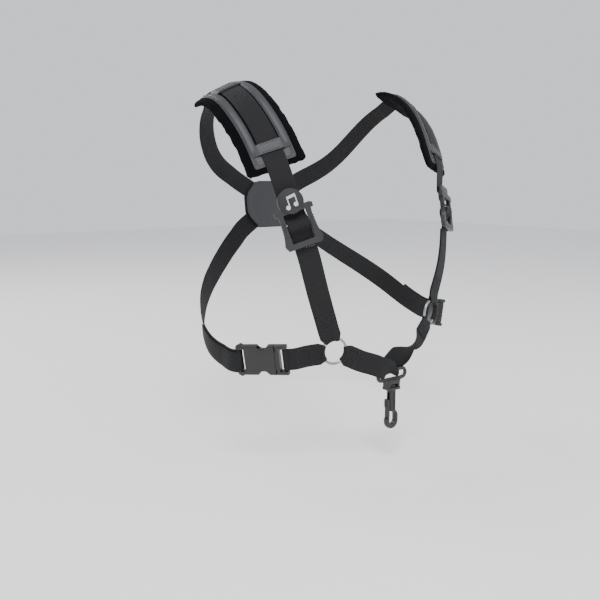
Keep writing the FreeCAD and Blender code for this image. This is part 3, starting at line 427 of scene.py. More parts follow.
def makeObject(name, vertices, faces, material, uvs=None, sharp=50):
    mesh = bpy.data.meshes.new(name)
    mesh.from_pydata([tuple(mm(c) for c in v) for v in vertices], [], faces)
    mesh.validate()
    if uvs:
        layer = mesh.uv_layers.new(name="webbing")
        for loop in mesh.loops:
            u, v = uvs[loop.vertex_index]
            layer.data[loop.index].uv = (mm(u), mm(v))
    for face in mesh.polygons:
        face.use_smooth = True
    mesh.set_sharp_from_angle(angle=math.radians(sharp))
    mesh.materials.append(material)
    obj = bpy.data.objects.new(name, mesh)
    bpy.context.scene.collection.objects.link(obj)
    return obj


# A closed surface through rings of matching points.
def skin(name, rings, material, uvs=None, sharp=50, closed=False):
    n = len(rings[0])
    vertices = [p for ring in rings for p in ring]
    faces = []
    last = len(rings) if closed else len(rings) - 1
    for i in range(last):
        k = (i + 1) % len(rings)
        for j in range(n):
            q = (j + 1) % n
            faces.append((i * n + j, i * n + q, k * n + q, k * n + j))
    if not closed:
        faces.append(tuple(range(n))[::-1])
        faces.append(tuple((len(rings) - 1) * n + j for j in range(n)))
    obj = makeObject(name, vertices, faces, material, uvs, sharp)
    tidy = bmesh.new()
    tidy.from_mesh(obj.data)
    bmesh.ops.recalc_face_normals(tidy, faces=tidy.faces)
    tidy.to_mesh(obj.data)
    tidy.free()
    return obj


# Webbing as a closed mesh round a grid of points: rows along it, columns across.
def strip(name, grid, thickness=None, start=0.0):
    thickness = thickness or harness["webbingThickness"]
    points = np.array([[tuple(p) for p in row] for row in grid], float)
    alongs = np.gradient(points, axis=0)
    sides = np.gradient(points, axis=1)
    normals = np.cross(sides, alongs)
    normals /= np.maximum(np.linalg.norm(normals, axis=2, keepdims=True), 1e-9)
    columns = points.shape[1]
    rings, uvs = [], []
    travelled = start
    for i in range(points.shape[0]):
        if i:
            travelled += float(np.linalg.norm(points[i, columns // 2] - points[i - 1, columns // 2]))
        top, bottom = [], []
        for j in range(columns):
            edge = min(j, columns - 1 - j)
            half = thickness / 2 * (0.62 if edge == 0 else 0.93 if edge == 1 else 1.0)
            top.append(points[i, j] + normals[i, j] * half)
            bottom.append(points[i, j] - normals[i, j] * half)
        width = np.linalg.norm(points[i, -1] - points[i, 0])
        outward = (points[i, -1] - points[i, 0]) / max(width, 1e-9) * 0.22 * thickness
        ring = top + [points[i, -1] + outward] + bottom[::-1] + [points[i, 0] - outward]
        rings.append([tuple(p) for p in ring])
        us = [width * (j / (columns - 1)) for j in range(columns)]
        uvs += [(u, travelled) for u in us + [width + 0.3] + us[::-1] + [-0.3]]
    return skin(name, rings, materials["webbing"], uvs, sharp=60)


# A slow, small unevenness along a strap.
def wave(s, seed):
    return harness["waviness"] * 0.5 * (
        math.sin(s / 11.0 + seed) + 0.6 * math.sin(s / 5.3 + 2.1 * seed)
    )


# Rows of a strap that follows a line at a height.
def bandGrid(line, lengths, lift, width=None, offset=0.0, seed=0.0, cup=0.0):
    grid = []
    for s in lengths:
        place, side, along, out = line.at(s)
        row = []
        for x in across(width(s) if callable(width) else (width or harness["webbingWidth"])):
            u = 2 * x / harness["webbingWidth"]
            raised = lift(s) + cup * u * u
            row.append(place + side * (x + offset) + out * raised)
        grid.append(row)
    return grid


# Where each stitch of a seam goes: (start, end, normal) triples.
def stitchRun(points, normals, closed=False):
    gaps = [(b - a).length for a, b in zip(points, points[1:])]
    total = sum(gaps)
    count = max(1, int(total / thread["pitch"]))
    spans = []

    def along(distance):
        for i, gap in enumerate(gaps):
            if distance <= gap or i == len(gaps) - 1:
                u = min(1.0, distance / max(gap, 1e-6))
                return points[i].lerp(points[i + 1], u), normals[i].lerp(normals[i + 1], u).normalized()
            distance -= gap

    for i in range(count):
        middle = (i + 0.5) * total / count
        a, n = along(max(0.0, middle - thread["length"] / 2))
        b, _ = along(min(total, middle + thread["length"] / 2))
        spans.append((a, b, n))
    return spans


# All the stitches of one seam group as one mesh.
def stitches(name, spans, body):
    vertices, faces = [], []
    r = thread["radius"]
    for a, b, n in spans:
        axis = (b - a)
        length = axis.length
        if length < 0.3:
            continue
        axis.normalize()
        side = axis.cross(n).normalized()
        up = side.cross(axis)
        first = len(vertices)
        profile = [(0.0, 0.15), (0.14, 0.8), (0.5, 1.05), (0.86, 0.8), (1.0, 0.15)]
        for t, k in profile:
            centre = a + axis * (length * t) + n * (0.12 + 0.22 * math.sin(math.pi * t))
            for q in range(6):
                angle = math.pi * q / 3
                vertices.append(
                    centre + side * (math.cos(angle) * r * k) + up * (math.sin(angle) * r * k * 0.8)
                )
        for i in range(len(profile) - 1):
            for q in range(6):
                w = (q + 1) % 6
                faces.append((
                    first + 6 * i + q, first + 6 * i + w, first + 6 * i + 6 + w, first + 6 * i + 6 + q
                ))
        faces.append(tuple(first + q for q in range(6))[::-1])
        faces.append(tuple(first + 24 + q for q in range(6)))
    obj = makeObject(name, vertices, faces, materials["thread"], sharp=80)
    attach(obj, body)
    return obj


# A seam that follows a strap at an across position.
def lineRun(line, lengths, x, lift):
    points, normals = [], []
    for s in lengths:
        place, side, along, out = line.at(s)
        height = lift(s) if callable(lift) else lift
        offset = x(s) if callable(x) else x
        points.append(place + side * offset + out * height)
        normals.append(out)
    return stitchRun(points, normals)


# A seam straight across a strap.
def crossRun(line, s, low, high, lift):
    place, side, along, out = line.at(s)
    height = lift(s) if callable(lift) else lift
    return stitchRun([place + side * low + out * height, place + side * high + out * height], [out, out])


# A stitched box with a diagonal cross.
def boxSeam(line, start, end, half, lift):
    lengths = spread(start, end, 3)
    spans = lineRun(line, lengths, -half, lift) + lineRun(line, lengths, half, lift)
    spans += crossRun(line, start, -half, half, lift) + crossRun(line, end, -half, half, lift)
    for sign in (-1, 1):
        spans += lineRun(
            line, spread(start, end, 2),
            lambda s: sign * half * (2 * (s - start) / (end - start) - 1), lift,
        )
    return spans



gap = harness["bodyGap"]
layer = harness["layerGap"]
cloth = harness["webbingThickness"]
half = cloth / 2
low = gap + half
doubleMiddle = gap + cloth
ringLift = gap + ringSizes["wire"] + ringSizes["clearance"] + cloth
padTop = gap + padSizes["thickness"]
strapOnPad = padTop + coverSizes["thickness"] + 2 * layer
yokeLow = gap + yokeSizes["ply"] + yokeSizes["gap"] + half
yokeHigh = yokeLow + cloth + yokeSizes["gap"]
yokeTop = yokeHigh + half + yokeSizes["gap"]
barLift = adjusterSizes["base"] + adjusterSizes["thickness"] / 2


def ringFrame(rows):
    out = Vector(rows[0][3:]).normalized()
    along = Vector((0, 0, 1))
    along = (along - out * along.dot(out)).normalized()
    return Vector(rows[0][:3]), along.cross(out), along, out


# Webbing from its lower end, round the ring's wire and back along its upper layer.
def loopedGrid(line, frame, end, lift, seed):
    place, _, _, out = frame
    centre = place + out * ringLift
    heading = line.at(0)[2]
    heading = (heading - out * heading.dot(out)).normalized()
    side = heading.cross(out)
    radius = ringSizes["wire"] + ringSizes["clearance"] + half
    tangent = math.tan(math.radians(ringSizes["halfAngle"]))
    start = ringSizes["radius"] + 3.0

    def width(s):
        return min(harness["webbingWidth"], 2 * s * tangent)

    def layerRows(lengths, sign):
        grid = bandGrid(line, lengths, lambda s: lift(s) + sign * half, width)
        for i, s in enumerate(lengths):
            pucker = max(0.0, 1 - (s - ringSizes["radius"]) / 22.0)
            out2 = line.at(s)[3]
            for j in range(len(grid[i])):
                wrinkle = 0.35 * pucker * math.sin(5.5 * math.pi * j / (len(grid[i]) - 1) + seed)
                grid[i][j] = grid[i][j] + out2 * (wrinkle * (1 if sign > 0 else -0.4))
        return grid

    lengths = spread(start, end, 2.0)
    lower = layerRows(lengths[::-1], -1)
    turn = []
    columns = across(1.0)
    for angle in range(-90, 91, 15):
        a = math.radians(angle)
        row = []
        for u in columns:
            around = 2 * u * math.radians(ringSizes["halfAngle"])
            radial = heading * math.cos(around) + side * math.sin(around)
            ripple = 0.25 * math.sin(11 * math.pi * u + seed)
            reach = ringSizes["radius"] - (radius + ripple) * math.cos(a)
            row.append(centre + radial * reach + out * ((radius + ripple) * math.sin(a)))
        turn.append(row)
    upper = layerRows(lengths, 1)
    return lower + turn + upper


# Webbing round a bar, from one angle to another, in a piece's own frame.
def sleeveGrid(frame, y, z, radius, first, last, rows):
    place, side, along, out = frame
    grid = []
    for i in range(rows + 1):
        a = math.radians(first + (last - first) * i / rows)
        offset = along * (y + radius * math.cos(a)) + out * (z + radius * math.sin(a))
        grid.append([place + offset + side * x for x in across(harness["webbingWidth"])])
    return grid


# Webbing along a path of (along, out) points in a piece's own frame.
def pathGrid(frame, path, count):
    place, side, along, out = frame
    knots = [0.0]
    for a, b in zip(path, path[1:]):
        knots.append(knots[-1] + math.dist(a, b))
    smooth = spline(knots, path, count)
    return [
        [place + along * y + out * z + side * x for x in across(harness["webbingWidth"])]
        for y, z in smooth
    ]



# A crowned cushion with rounded ends, following a line.
def padSurface(line, start, length, width, baseHeight, topHeight, edge, crown, seed, name, material):
    random.seed(seed)
    around = 28
    rows = spread(0.0, length, 2.0)
    rings = []
    for s in rows:
        end = min(s, length - s)
        roundness = min(1.0, end / 4.0)
        narrowed = math.sqrt(max(0.0, 1 - (1 - roundness) ** 2))
        halfWidth = width / 2 - 3.0 * (1 - narrowed)
        place, side, along, out = line.at(start + s)
        slump = 0.5 * math.sin(s / 17.0 + seed) + 0.35 * math.sin(s / 7.1 + 2 * seed)
        halfWidth = max(halfWidth + 0.25 * slump, 3.0)
        ring = []
        endHeight = 0.35 + 0.65 * narrowed
        for k in range(2 * around):
            t = 2 * math.pi * k / (2 * around)
            c, d = math.cos(t), math.sin(t)
            x = halfWidth * math.copysign(abs(c) ** 0.45, c)
            flat = abs(d) ** 0.55
            if d >= 0:
                z = edge + (topHeight - edge) * flat * endHeight + crown * (1 - (x / halfWidth) ** 2)
            else:
                z = edge - (edge - baseHeight) * flat
            ring.append(place + side * x + out * z)
        rings.append(ring)
    return skin(name, rings, material, sharp=180)


# Puffs a pad with a short cloth run and keeps each point near where it was sewn.
def settle(obj, cap):
    remesh = obj.modifiers.new("remesh", "REMESH")
    remesh.mode = "VOXEL"
    remesh.voxel_size = 0.003
    bpy.context.view_layer.objects.active = obj
    bpy.ops.object.modifier_apply(modifier="remesh")
    sewn = np.array([v.co[:] for v in obj.data.vertices])
    run = obj.modifiers.new("cloth", "CLOTH")
    run.settings.quality = 5
    run.settings.use_pressure = True
    run.settings.uniform_pressure_force = 3.0
    run.settings.tension_stiffness = 12.0
    run.settings.bending_stiffness = 0.3
    run.settings.shrink_min = -0.03
    run.settings.effector_weights.gravity = 0.0
    run.collision_settings.use_collision = False
    run.point_cache.frame_start, run.point_cache.frame_end = 1, 14
    for frameNumber in range(1, 15):
        bpy.context.scene.frame_set(frameNumber)
    bpy.ops.object.modifier_apply(modifier="cloth")
    bpy.context.scene.frame_set(1)
    limit = mm(cap)
    for vertex, before in zip(obj.data.vertices, sewn):
        move = np.array(vertex.co[:]) - before
        far = np.linalg.norm(move)
        if far > limit:
            vertex.co = before + move * (limit / far)


# A thin raised roll sewn along a line.
def boundRoll(line, start, length, x, lift, radius, name, material, body):
    rings = []
    for s in spread(start, start + length, 2.5):
        place, side, along, out = line.at(s)
        end = min(s - start, start + length - s)
        r = radius * (0.35 + 0.65 * min(1.0, end / 3.0))
        ring = []
        for q in range(10):
            t = 2 * math.pi * q / 10
            ring.append(place + side * (x + r * math.cos(t)) + out * (lift + r * 0.8 * math.sin(t)))
        rings.append(ring)
    obj = skin(name, rings, material, sharp=180)
    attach(obj, body)
    return obj


# A piece that follows a line: outline(s) lists (across, out) corners.
def patch(line, lengths, outline, name, material, uvs=None, sharp=60):
    rings = []
    for s in lengths:
        place, side, along, out = line.at(s)
        rings.append([place + side * x + out * z for x, z in outline(s)])
    return skin(name, rings, material, sharp=sharp)


# A flat outline with rolled edges and a crowned top, as (across, out) corners.
def rounded(lowX, highX, lowZ, highZ, roll, crown=0.0):
    points = []
    for i in range(13):
        u = i / 12
        x = lowX + roll + (highX - lowX - 2 * roll) * u
        points.append((x, highZ + crown * math.sin(math.pi * u)))
    ring = [(lowX, lowZ), (lowX - 0.0, highZ - roll * 0.7), (lowX + roll * 0.3, highZ - roll * 0.2)]
    ring += points
    ring += [(highX - roll * 0.3, highZ - roll * 0.2), (highX, highZ - roll * 0.7), (highX, lowZ)]
    return ring


def shoulderPad(side, line, start):
    pad = padSurface(
        line, start, padSizes["length"], padSizes["width"], gap, padTop - padSizes["crown"] * 0.6, 3.4,
        padSizes["crown"] * 0.6, 1.0 if side == "right" else 2.0, side + "PadPlush", materials["plush"],
    )
    settle(pad, 1.4)
    smooth = pad.modifiers.new("smooth", "SUBSURF")
    smooth.levels = smooth.render_levels = 1
    pile = bpy.data.textures.new(side + "Pile", "CLOUDS")
    pile.noise_scale = 0.0022
    rough = pad.modifiers.new("pile", "DISPLACE")
    rough.texture = pile
    rough.strength = 0.0005
    rough.mid_level = 0.6
    for face in pad.data.polygons:
        face.use_smooth = True
    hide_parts(side + "_shoulder_pad")
    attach(pad, "harness")
    return pad


# The leatherette frame: two end panels, two rolled rails beside the window, two bridges.
def padCover(side, line, start):
    c = coverSizes
    first, last = start + c["start"], start + padSizes["length"] - c["start"]
    halfWidth = c["width"] / 2
    base = padTop + layer
    top = base + c["thickness"]
    inside = harness["webbingWidth"] / 2 + 2.5
    windowFirst, windowLast = first + c["windowMargin"], last - c["windowMargin"]
    leather = materials["leatherette"]
    innerSign = -1 if side == "right" else 1
    made = []

    def endWidth(s):
        end = min(s - first, last - s)
        corner = min(1.0, end / 2.5)
        return halfWidth - 2.0 * (1 - math.sqrt(max(0.0, 1 - (1 - corner) ** 2)))

    for name, a, b in (("Front", first, windowFirst), ("Back", windowLast, last)):
        made.append(patch(
            line, spread(a, b, 2.0),
            lambda s: rounded(-endWidth(s), endWidth(s), base - 0.9, top - 0.25, 0.8, 0.55),
            side + "Cover" + name, leather,
        ))
    for sign, name in ((-1, "Inner"), (1, "Outer")):
        lowX, highX = sorted((sign * halfWidth, sign * inside))
        made.append(patch(
            line, spread(windowFirst - 2, windowLast + 2, 3.0),
            lambda s: rounded(lowX, highX, base - 0.9, top - 0.1, 0.8, 0.2),
            side + "CoverRail" + name, leather,
        ))
        middle = sign * (inside + c["railWidth"] / 2)

        def welt(s):
            end = min(s - windowFirst + 11, windowLast + 11 - s)
            rise = eased(end, 0, 9, 0.2, 1.0)
            ruck = 1 + 0.05 * math.sin(s / 2.9 + sign) + 0.04 * math.sin(s / 7.7)
            height = (c["railHeight"] - c["thickness"] + 0.4) * rise * ruck
            ring = []
            for q in range(17):
                t = math.pi * q / 16
                x = c["railWidth"] / 2 * math.copysign(abs(math.cos(t)) ** 0.8, math.cos(t))
                ring.append((middle + x * (0.8 + 0.2 * rise), top - 0.5 + height * math.sin(t) ** 0.75))
            return ring

        roll = patch(
            line, spread(windowFirst - 9.5, windowLast + 9.5, 2.0), welt,
            side + "Welt" + name, leather, sharp=180,
        )
        made.append(roll)
        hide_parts(side + ("_pad_inner_rail" if sign == innerSign else "_pad_outer_rail"))
        for x in (sign * (halfWidth - c["stitchInset"]), sign * (halfWidth - c["stitchInset"] - 1.9)):
            spans = lineRun(line, spread(first + 4, last - 4, 3), x, top + 0.28)
            stitches(side + "RailStitch" + name + ("A" if abs(x) > halfWidth - 3 else "B"), spans, "harness")
        made.append(boundRoll(
            line, windowFirst - 4, windowLast - windowFirst + 8, sign * (inside + 0.2), top + 0.1, 0.8,
            side + "Piping" + name, leather, "harness",
        ))
    spans = crossRun(line, first + 2.6, 4.5 - halfWidth, halfWidth - 4.5, top + 0.6)
    spans += crossRun(line, last - 2.6, 4.5 - halfWidth, halfWidth - 4.5, top + 0.6)
    spans += crossRun(line, windowFirst - 4.2, -inside, inside, top + 0.6)
    spans += crossRun(line, windowLast + 4.2, -inside, inside, top + 0.6)
    stitches(side + "CoverEndStitch", spans, "harness")
    roof = strapOnPad + cloth + layer
    reach = inside + c["bridgeOverlap"]
    for name, near in (("Front", windowFirst - c["bridgeLength"] + 3.0), ("Back", windowLast - 3.0)):

        def arch(s):
            u = (s - near) / c["bridgeLength"]
            pinch = 1.0 - 0.25 * math.sin(math.pi * u)
            upper, lower = [], []
            for i in range(21):
                x = reach * (i / 10 - 1)
                edge = max(0.0, abs(x) - harness["webbingWidth"] / 2) / (reach - harness["webbingWidth"] / 2)
                drop = (roof - top) * eased(edge, 0.1, 1.0, 0.0, 1.0)
                upper.append((x, roof + 1.1 - drop * 0.85 + 0.25 * math.sin(math.pi * u)))
                lower.append((x, max(roof - drop, top - 0.2) - 0.02 * pinch))
            return upper + lower[::-1]

        lengths = spread(near, near + c["bridgeLength"], 1.2)
        bridge = patch(line, lengths, arch, side + "Bridge" + name, leather)
        made.append(bridge)
        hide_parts(side + "_pad_" + name.lower() + "_bridge")
        for s in (near + 1.6, near + c["bridgeLength"] - 1.6):
            stitched = harness["webbingWidth"] / 2 - 1
            spans = crossRun(line, s, -stitched, stitched, roof + 1.28)
            stitches(side + "BridgeStitch" + name + ("A" if s < near + 5 else "B"), spans, "harness")
    for piece in made:
        if piece.parent is None:
            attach(piece, "harness")
    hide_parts(side + "_pad_cover")
    return made


# Shoulder strap, adjuster threading, chest strap and pad of one side.
def frontPieces(side, yokeLift):
    line = lines[side + "Front"]
    rows = routes[side + "Front"]
    middle = line.nearest(rows[4][:3])
    seat = line.at(middle)
    start = middle + padSizes["toAdjuster"] + (adjusterSizes["badgeRadius"] if side == "right" else 0.0)
    reach = adjusterSizes["length"] / 2 + 1.0
    padEnd = start + padSizes["length"]

    def lift(s):
        if s < start + padSizes["length"] / 2:
            return eased(s, middle + reach - 4.0, start + 10.0, low, strapOnPad + half)
        if s < padEnd + 24.0:
            return eased(s, padEnd - 10.0, padEnd + 20.0, strapOnPad + half, low)
        return eased(s, line.length - 84.0, line.length - 57.0, low, yokeLift)

    seed = 1.3 if side == "right" else 2.9

    def wavyLift(s):
        # the webbing waves only where nothing presses on it
        free = start + 25 < s < padEnd - 25 or padEnd + 20 < s < line.length - 86
        return lift(s) + (wave(s, seed) if free else 0.0)

    shoulder = strip(side + "ShoulderStrap", bandGrid(
        line, spread(start - 18.0, line.length + 9.0, 2.0), wavyLift,
    ))
    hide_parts(side + "_shoulder_strap")
    upper = strip(side + "UpperStrap", bandGrid(
        line, spread(middle + reach + 0.3, start - 17.5, 2.0), lift,
    ))
    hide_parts(side + "_upper_strap")
    ring = ringFrame(rows)

    def doubledLift(s):
        return eased(s, ringSizes["radius"], ringSizes["radius"] + 14.0, ringLift, doubleMiddle)

    end = middle - reach - sideSizes["chestEnd"]
    chest = strip(side + "ChestStrap", loopedGrid(line, ring, end, doubledLift, seed))
    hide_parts(side + "_chest_strap")
    ends = []
    for sign in (-1, 1):
        ends.append(strip(side + "ChestStrapEnd" + ("Under" if sign < 0 else "Over"), bandGrid(
            line, spread(end, middle - reach - 0.3, 2.0), lambda s: doubleMiddle + sign * half,
        )))
    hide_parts(side + "_chest_strap_end")
    a, b = line.at(end)[0], line.at(middle - reach)[0]
    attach(shoulder, "harness")
    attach(chest, "harness")
    body = side + "_adjuster_body"
    for piece in ends:
        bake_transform(piece)
    a, b = line.at(start - 18.0)[0], line.at(middle + reach)[0]
    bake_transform(upper)
    tack = boxSeam(line, ringSizes["radius"] + 14, ringSizes["radius"] + 30, 9.5, gap + 2 * cloth + 0.1)
    stitches(side + "ChestTack", tack, "harness")

    over = barLift + adjusterSizes["barRadius"] + 0.15 + cloth + 0.15 + half
    outer = gap + 1.5 * cloth + 0.15
    threaded = strip(side + "Threaded", pathGrid(seat, [
        (reach, low), (reach - 5.0, low), (11.5, low + 1.3), (7.6, over - 3.2), (4.2, over - 0.5),
        (1.5, over), (-1.2, over - 0.5), (-4.4, over - 3.2), (-9.0, outer + 1.0), (-14.0, outer),
        (5.0 - reach, outer), (-reach, outer),
    ], 46))
    inner = sleeveGrid(
        seat, adjusterSizes["barAt"], barLift, adjusterSizes["barRadius"] + 0.15 + half, 235, -40, 22
    )
    sleeve = strip(side + "AdjusterSleeve", inner)
    under = strip(side + "AdjusterUnder", pathGrid(
        seat, [(2.2, low + 0.9), (0.0, low), (-8.0, low - 0.1), (-reach, low - 0.1)], 14
    ))
    for piece in (threaded, sleeve, under):
        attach(piece, body)
    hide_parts(side + "_adjuster_webbing")
    shoulderPad(side, line, start)
    padCover(side, line, start)
    print(side, "front done")
    return line, ring


# Buckle webbing, side strap and its folded tail on one side.
def sidePieces(side, ring, yokeLift):
    line = lines[side + "Side"]
    b = buckleSizes
    near = line.at(b["start"])
    far = line.at(b["start"] + b["maleLength"] + b["socketLength"])
    along = (far[0] - near[0]).normalized()
    out = (near[3] + far[3]) * 0.5
    out = (out - along * out.dot(along)).normalized()
    seat = (near[0] + out * b["lift"], along.cross(out), along, out)
    seed = 4.1 if side == "right" else 5.7
    barHeight = b["lift"] + b["thickness"] / 2
    barAt = b["start"] + b["barInset"]

    def doubledLift(s):
        if s > ringSizes["radius"] + 14.0:
            return eased(s, barAt - 22.0, barAt - 7.0, doubleMiddle, barHeight)
        return eased(s, ringSizes["radius"], ringSizes["radius"] + 14.0, ringLift, doubleMiddle)

    ringStrap = strip(side + "RingStrap", loopedGrid(line, ring, barAt - 1.9, doubledLift, seed))
    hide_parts(side + "_ring_strap")
    radius = b["barRadius"] + 0.15 + half
    z = b["thickness"] / 2
    wrap = strip(side + "RingStrapBar", sleeveGrid(seat, b["barInset"], z, radius, 160, -160, 26))
    back = b["maleLength"] + b["socketLength"] - b["barInset"]
    loop = strip(side + "SocketLoop", sleeveGrid(seat, back, z, radius, -150, 150, 26))
    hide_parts(side + "_socket_loop")
    body = side + "_socket_body"
    for piece, name in ((ringStrap, "harness"), (wrap, "harness"), (loop, body)):
        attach(piece, name)
    lengths = spread(ringSizes["radius"] + 12, barAt - 12, 3)
    tack = []
    for x in (-10, 10):
        tack += lineRun(line, lengths, x, lambda s: doubledLift(s) + cloth + 0.1)
    tack += crossRun(line, barAt - 12, -10, 10, lambda s: doubledLift(s) + cloth + 0.1)
    tack += crossRun(line, ringSizes["radius"] + 12, -10, 10, lambda s: doubledLift(s) + cloth + 0.1)
    stitches(side + "RingTack", tack, "harness")

    first = b["start"] + b["maleLength"] + b["socketLength"] + 5.2

    def lift(s):
        if s < first + 30.0:
            return eased(s, first, first + 20.0, barHeight, low)
        return eased(s, line.length - 84.0, line.length - 57.0, low, yokeLift)

    split = first + sideSizes["endLength"]
    endStrap = strip(side + "SideStrapEnd", bandGrid(line, spread(first - 7.2, split, 2.0), lift))
    strap = strip(side + "SideStrap", bandGrid(
        line, spread(split, line.length + 9.0, 2.0),
        lambda s: lift(s) + (wave(s, seed) if split + 50 < s < line.length - 90 else 0.0),
    ))
    tailEnd = first + sideSizes["tailLength"]

    def tailLift(s):
        # the folded end springs off the strap near its fold, then lies in low waves
        fold = eased(s, first, first + 20.0, 0.5, 0.0)
        return lift(s) + cloth + layer + fold + 0.25 * math.sin((s - first) / 9.0) ** 2

    tail = strip(side + "StrapTail", bandGrid(
        line, spread(first - 6.4, tailEnd, 2.0), tailLift, offset=-sideSizes["tailOffset"],
    ))
    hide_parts(side + "_side_strap_end")
    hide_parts(side + "_side_strap")
    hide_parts(side + "_strap_tail")
    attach(strap, "harness")
    a = [mm(v) for v in line.at(split)[0]]
    c = [mm(v) for v in line.at(first)[0]]
    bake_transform(endStrap)
    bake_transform(tail)
    print(side, "side done")


# The V between the rings, sewn at each ring and wrapped under the bail's top bar.
def frontStrap():
    ends = {}
    for side in ("right", "left"):
        line = lines[side + "V"]
        ring = ringFrame(routes[side + "V"])

        def lift(s):
            return eased(s, ringSizes["radius"], ringSizes["radius"] + 14.0, ringLift, doubleMiddle + 1.0)

        piece = strip(side + "VLoop", loopedGrid(line, ring, sideSizes["vSewn"], lift, 7.3))
        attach(piece, "harness")
        top = lambda s: lift(s) + cloth + 0.1
        tack = boxSeam(line, sideSizes["vSewn"] - 13, sideSizes["vSewn"] - 3, 9.5, top)
        stitches(side + "VTack", tack, "harness")
        rows = []
        for s in (sideSizes["vSewn"] - 6.0, sideSizes["vSewn"] + 3.0):
            place, sideways, _, out = line.at(s)
            place = place + out * (doubleMiddle + 1.0)
            sideways = sideways * (1 if side == "right" else -1)
            rows.append(tuple(place) + tuple(sideways))
        ends[side] = rows
    around = bailSizes["section"] / 2 + layer + half
    x, y, z = bailSizes["x"], bailSizes["y"], bailSizes["z"]
    wrap = [
        (x - 27, y - 2.4, z + 9.5, -0.50, 0.0, -0.86),
        (x - 20, y - around - 0.8, z + 6.2, -0.62, 0.0, -0.78),
        (x - 13, y - around - 0.5, z + 3.4, -0.84, 0.0, -0.54),
        (x - 8, y - around, z + 0.8, -0.97, 0.0, -0.2),
        (x - 6.5, y - 0.75 * around, z - 0.75 * around, -1, 0, 0),
        (x - 5, y, z - around, -1, 0, 0),
        (x - 3, y + 0.78 * around, z - 0.72 * around, -1, 0, 0),
        (x - 0.5, y + around + 0.5, z + 0.6, -1, 0, 0),
        (x + 4, y + around + 2.8, z + 5.4, -0.98, 0.0, 0.1),
        (x + 16, y + 6.5, z + 12.5, -0.76, 0.45, 0.4),
        (x + 28, y + 4.0, z + 19.5, 0.0, 0.99, 0.1),
        (x + 40, y + 2.5, z + 26.5, 0.62, 0.66, -0.42),
    ]
    path = ends["right"] + wrap + ends["left"][::-1]
    places = np.array([row[:3] for row in path], float)
    knots = np.concatenate([[0], np.cumsum(np.linalg.norm(np.diff(places, axis=0), axis=1))])
    smooth = spline(knots, path, 110)
    middles = smooth[:, :3]
    alongs = np.gradient(middles, axis=0)
    grid = []
    for centre, along, sideways in zip(middles, alongs, smooth[:, 3:]):
        along = along / np.linalg.norm(along)
        sideways = sideways - along * float(np.dot(sideways, along))
        sideways = sideways / np.linalg.norm(sideways)
        grid.append([Vector(centre + sideways * v) for v in across(harness["webbingWidth"])])
    strap = strip("FrontStrap", grid)
    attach(strap, "harness")
    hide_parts("front_strap")
    print("front strap done")


# The two-ply patch over the crossing, with a bound edge and two rows of stitching.
def yoke():
    y = yokeSizes
    rows = routes["rightFront"]
    out = Vector(rows[-1][3:]).normalized()
    side = Vector((-1, 0, 0))
    along = out.cross(side)
    centre = Vector(rows[-1][:3])
    corners = []
    hx, hz, clip = y["width"] / 2, y["height"] / 2, y["clip"]
    raw = [
        (clip - hx, -hz), (hx - clip, -hz), (hx, clip - hz), (hx, hz - clip),
        (hx - clip, hz), (clip - hx, hz), (-hx, hz - clip), (-hx, clip - hz),
    ]
    for i, corner in enumerate(raw):
        before, after = Vector(raw[i - 1]), Vector(raw[(i + 1) % 8])
        here = Vector(corner)
        for u in (0.0, 0.33, 0.67, 1.0):
            a = here + (before - here).normalized() * 5.0
            b = here + (after - here).normalized() * 5.0
            corners.append(a.lerp(here, u * 0.5).lerp(here.lerp(b, 0.5 + u * 0.5), u))
    for name, base, node, facing in (
        ("YokeInner", gap, "yoke_inner_ply", -1), ("YokeOuter", yokeTop, "yoke_outer_ply", 1),
    ):
        rings = []
        levels = [
            (1.0, 0.0), (1.004, 0.5), (1.0, 1.0), (0.985, 1.25), (0.965, 1.1), (0.94, 1.0), (0.9, 1.05),
            (0.75, 1.25), (0.5, 1.45), (0.25, 1.5), (0.02, 1.5),
        ]
        if facing < 0:
            levels = [(k, 1.0 - v * 0.6 if v > 1.0 else 1.0 - v) for k, v in levels]
        for k, v in levels:
            rings.append([
                centre + side * (c.x * k) + along * (c.y * k) + out * (base + y["ply"] * min(v, 1.6) * 0.9)
                for c in corners
            ])
        piece = skin(name, rings, materials["leatherette"], sharp=70)
        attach(piece, "harness")
        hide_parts(node)
    spans = []
    for k in (0.9, 0.855):
        loopPoints = [
            centre + side * (c.x * k) + along * (c.y * k) + out * (yokeTop + y["ply"] + 0.35)
            for c in corners
        ]
        loopPoints.append(loopPoints[0])
        spans += stitchRun(loopPoints, [out] * len(loopPoints))
    for sign in (-1, 1):
        a = centre + side * (-22 * sign) + along * (-16) + out * (yokeTop + y["ply"] * 1.4)
        b = centre + side * (22 * sign) + along * 16 + out * (yokeTop + y["ply"] * 1.4)
        spans += stitchRun([a, b], [out, out])
    stitches("YokeStitch", spans, "harness")
    print("yoke done")
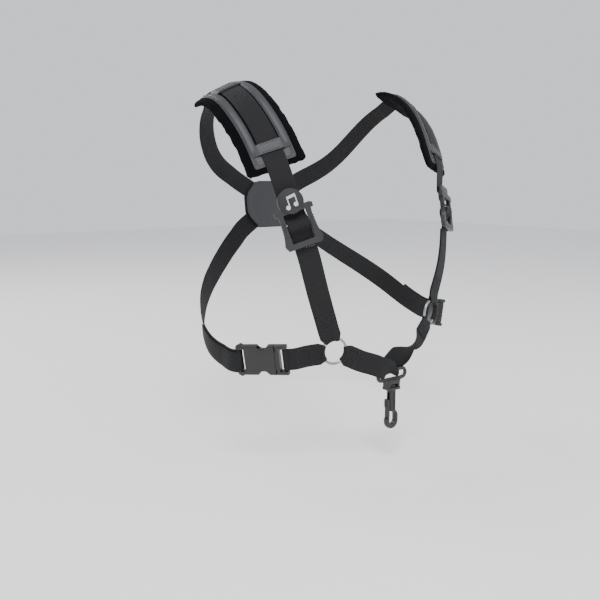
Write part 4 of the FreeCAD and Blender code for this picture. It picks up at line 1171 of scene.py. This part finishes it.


# The moulded and metal pieces keep their designed shapes; the moulded ones get softened edges.
def hardware():
    finishes = {
        "adjuster": "plastic", "buckle_male": "plastic", "buckle_socket": "plastic",
        "buckle_upper_prong": "plastic", "buckle_lower_prong": "plastic", "ring": "metal",
    }
    table = {side + "_" + name: finish for name, finish in finishes.items() for side in ("right", "left")}
    table.update({
        "badge": "badge", "badge_motif": "motif", "hook_bail": "plastic", "hook_body": "plastic",
        "hook_thumb_slide": "plastic", "hook_spring": "steel",
    })
    for node, finish in table.items():
        obj = frame["nodes"][node]
        obj.data.materials.clear()
        obj.data.materials.append(materials[finish])
        if finish in ("plastic", "badge"):
            weld = obj.modifiers.new("weld", "WELD")
            weld.merge_threshold = 0.00001
            bevel = obj.modifiers.new("softened", "BEVEL")
            bevel.width = 0.00045
            bevel.segments = 3
            bevel.limit_method = "ANGLE"
            bevel.angle_limit = math.radians(35)
            bevel.harden_normals = False
            for face in obj.data.polygons:
                face.use_smooth = True
            obj.data.set_sharp_from_angle(angle=math.radians(35))
    print("hardware done")


# Pale floor, soft light and the camera.
def studio():
    bpy.ops.mesh.primitive_plane_add(size=8.0, location=(0, 0, -0.46))
    floor = bpy.context.object
    floor.name = "Floor"
    paper, _, _ = newMaterial("pale matt paper", {"Base Color": linear(colours["floor"]), "Roughness": 0.9})
    floor.data.materials.append(paper)
    world = bpy.data.worlds.new("studio")
    bpy.context.scene.world = world
    world.use_nodes = True
    world.node_tree.nodes["Background"].inputs[0].default_value = (0.92, 0.94, 1.0, 1.0)
    world.node_tree.nodes["Background"].inputs[1].default_value = 1.0
    for name, place, power, size in (
        ("Key", (-0.9, -1.2, 1.6), 40.0, 0.9), ("Fill", (1.4, -1.2, 0.5), 10.0, 1.4),
        ("Back", (-0.6, 1.6, 1.2), 24.0, 1.0), ("Low", (-0.4, -1.0, -0.3), 3.0, 0.8),
    ):
        data = bpy.data.lights.new(name, "AREA")
        data.energy, data.size = power, size
        lamp = bpy.data.objects.new(name, data)
        lamp.location = place
        aim = Vector((0, 0, -0.18)) - Vector(place)
        lamp.rotation_euler = aim.to_track_quat("-Z", "Y").to_euler()
        bpy.context.scene.collection.objects.link(lamp)
    data = bpy.data.cameras.new("Camera")
    data.lens, data.sensor_width = 46.86, 36.0
    data.clip_start = 0.01
    camera = bpy.data.objects.new("Camera", data)
    camera.location = (-0.6561, -0.7547, -0.1150)
    camera.rotation_euler = Vector((0.6131, 0.7746, -0.1556)).to_track_quat("-Z", "Y").to_euler()
    bpy.context.scene.collection.objects.link(camera)
    bpy.context.scene.camera = camera


studio()
hardware()
for side, straps, sides in (("right", yokeLow, yokeHigh), ("left", yokeHigh, yokeLow)):
    _, ring = frontPieces(side, straps)
    sidePieces(side, ring, sides)
frontStrap()
yoke()
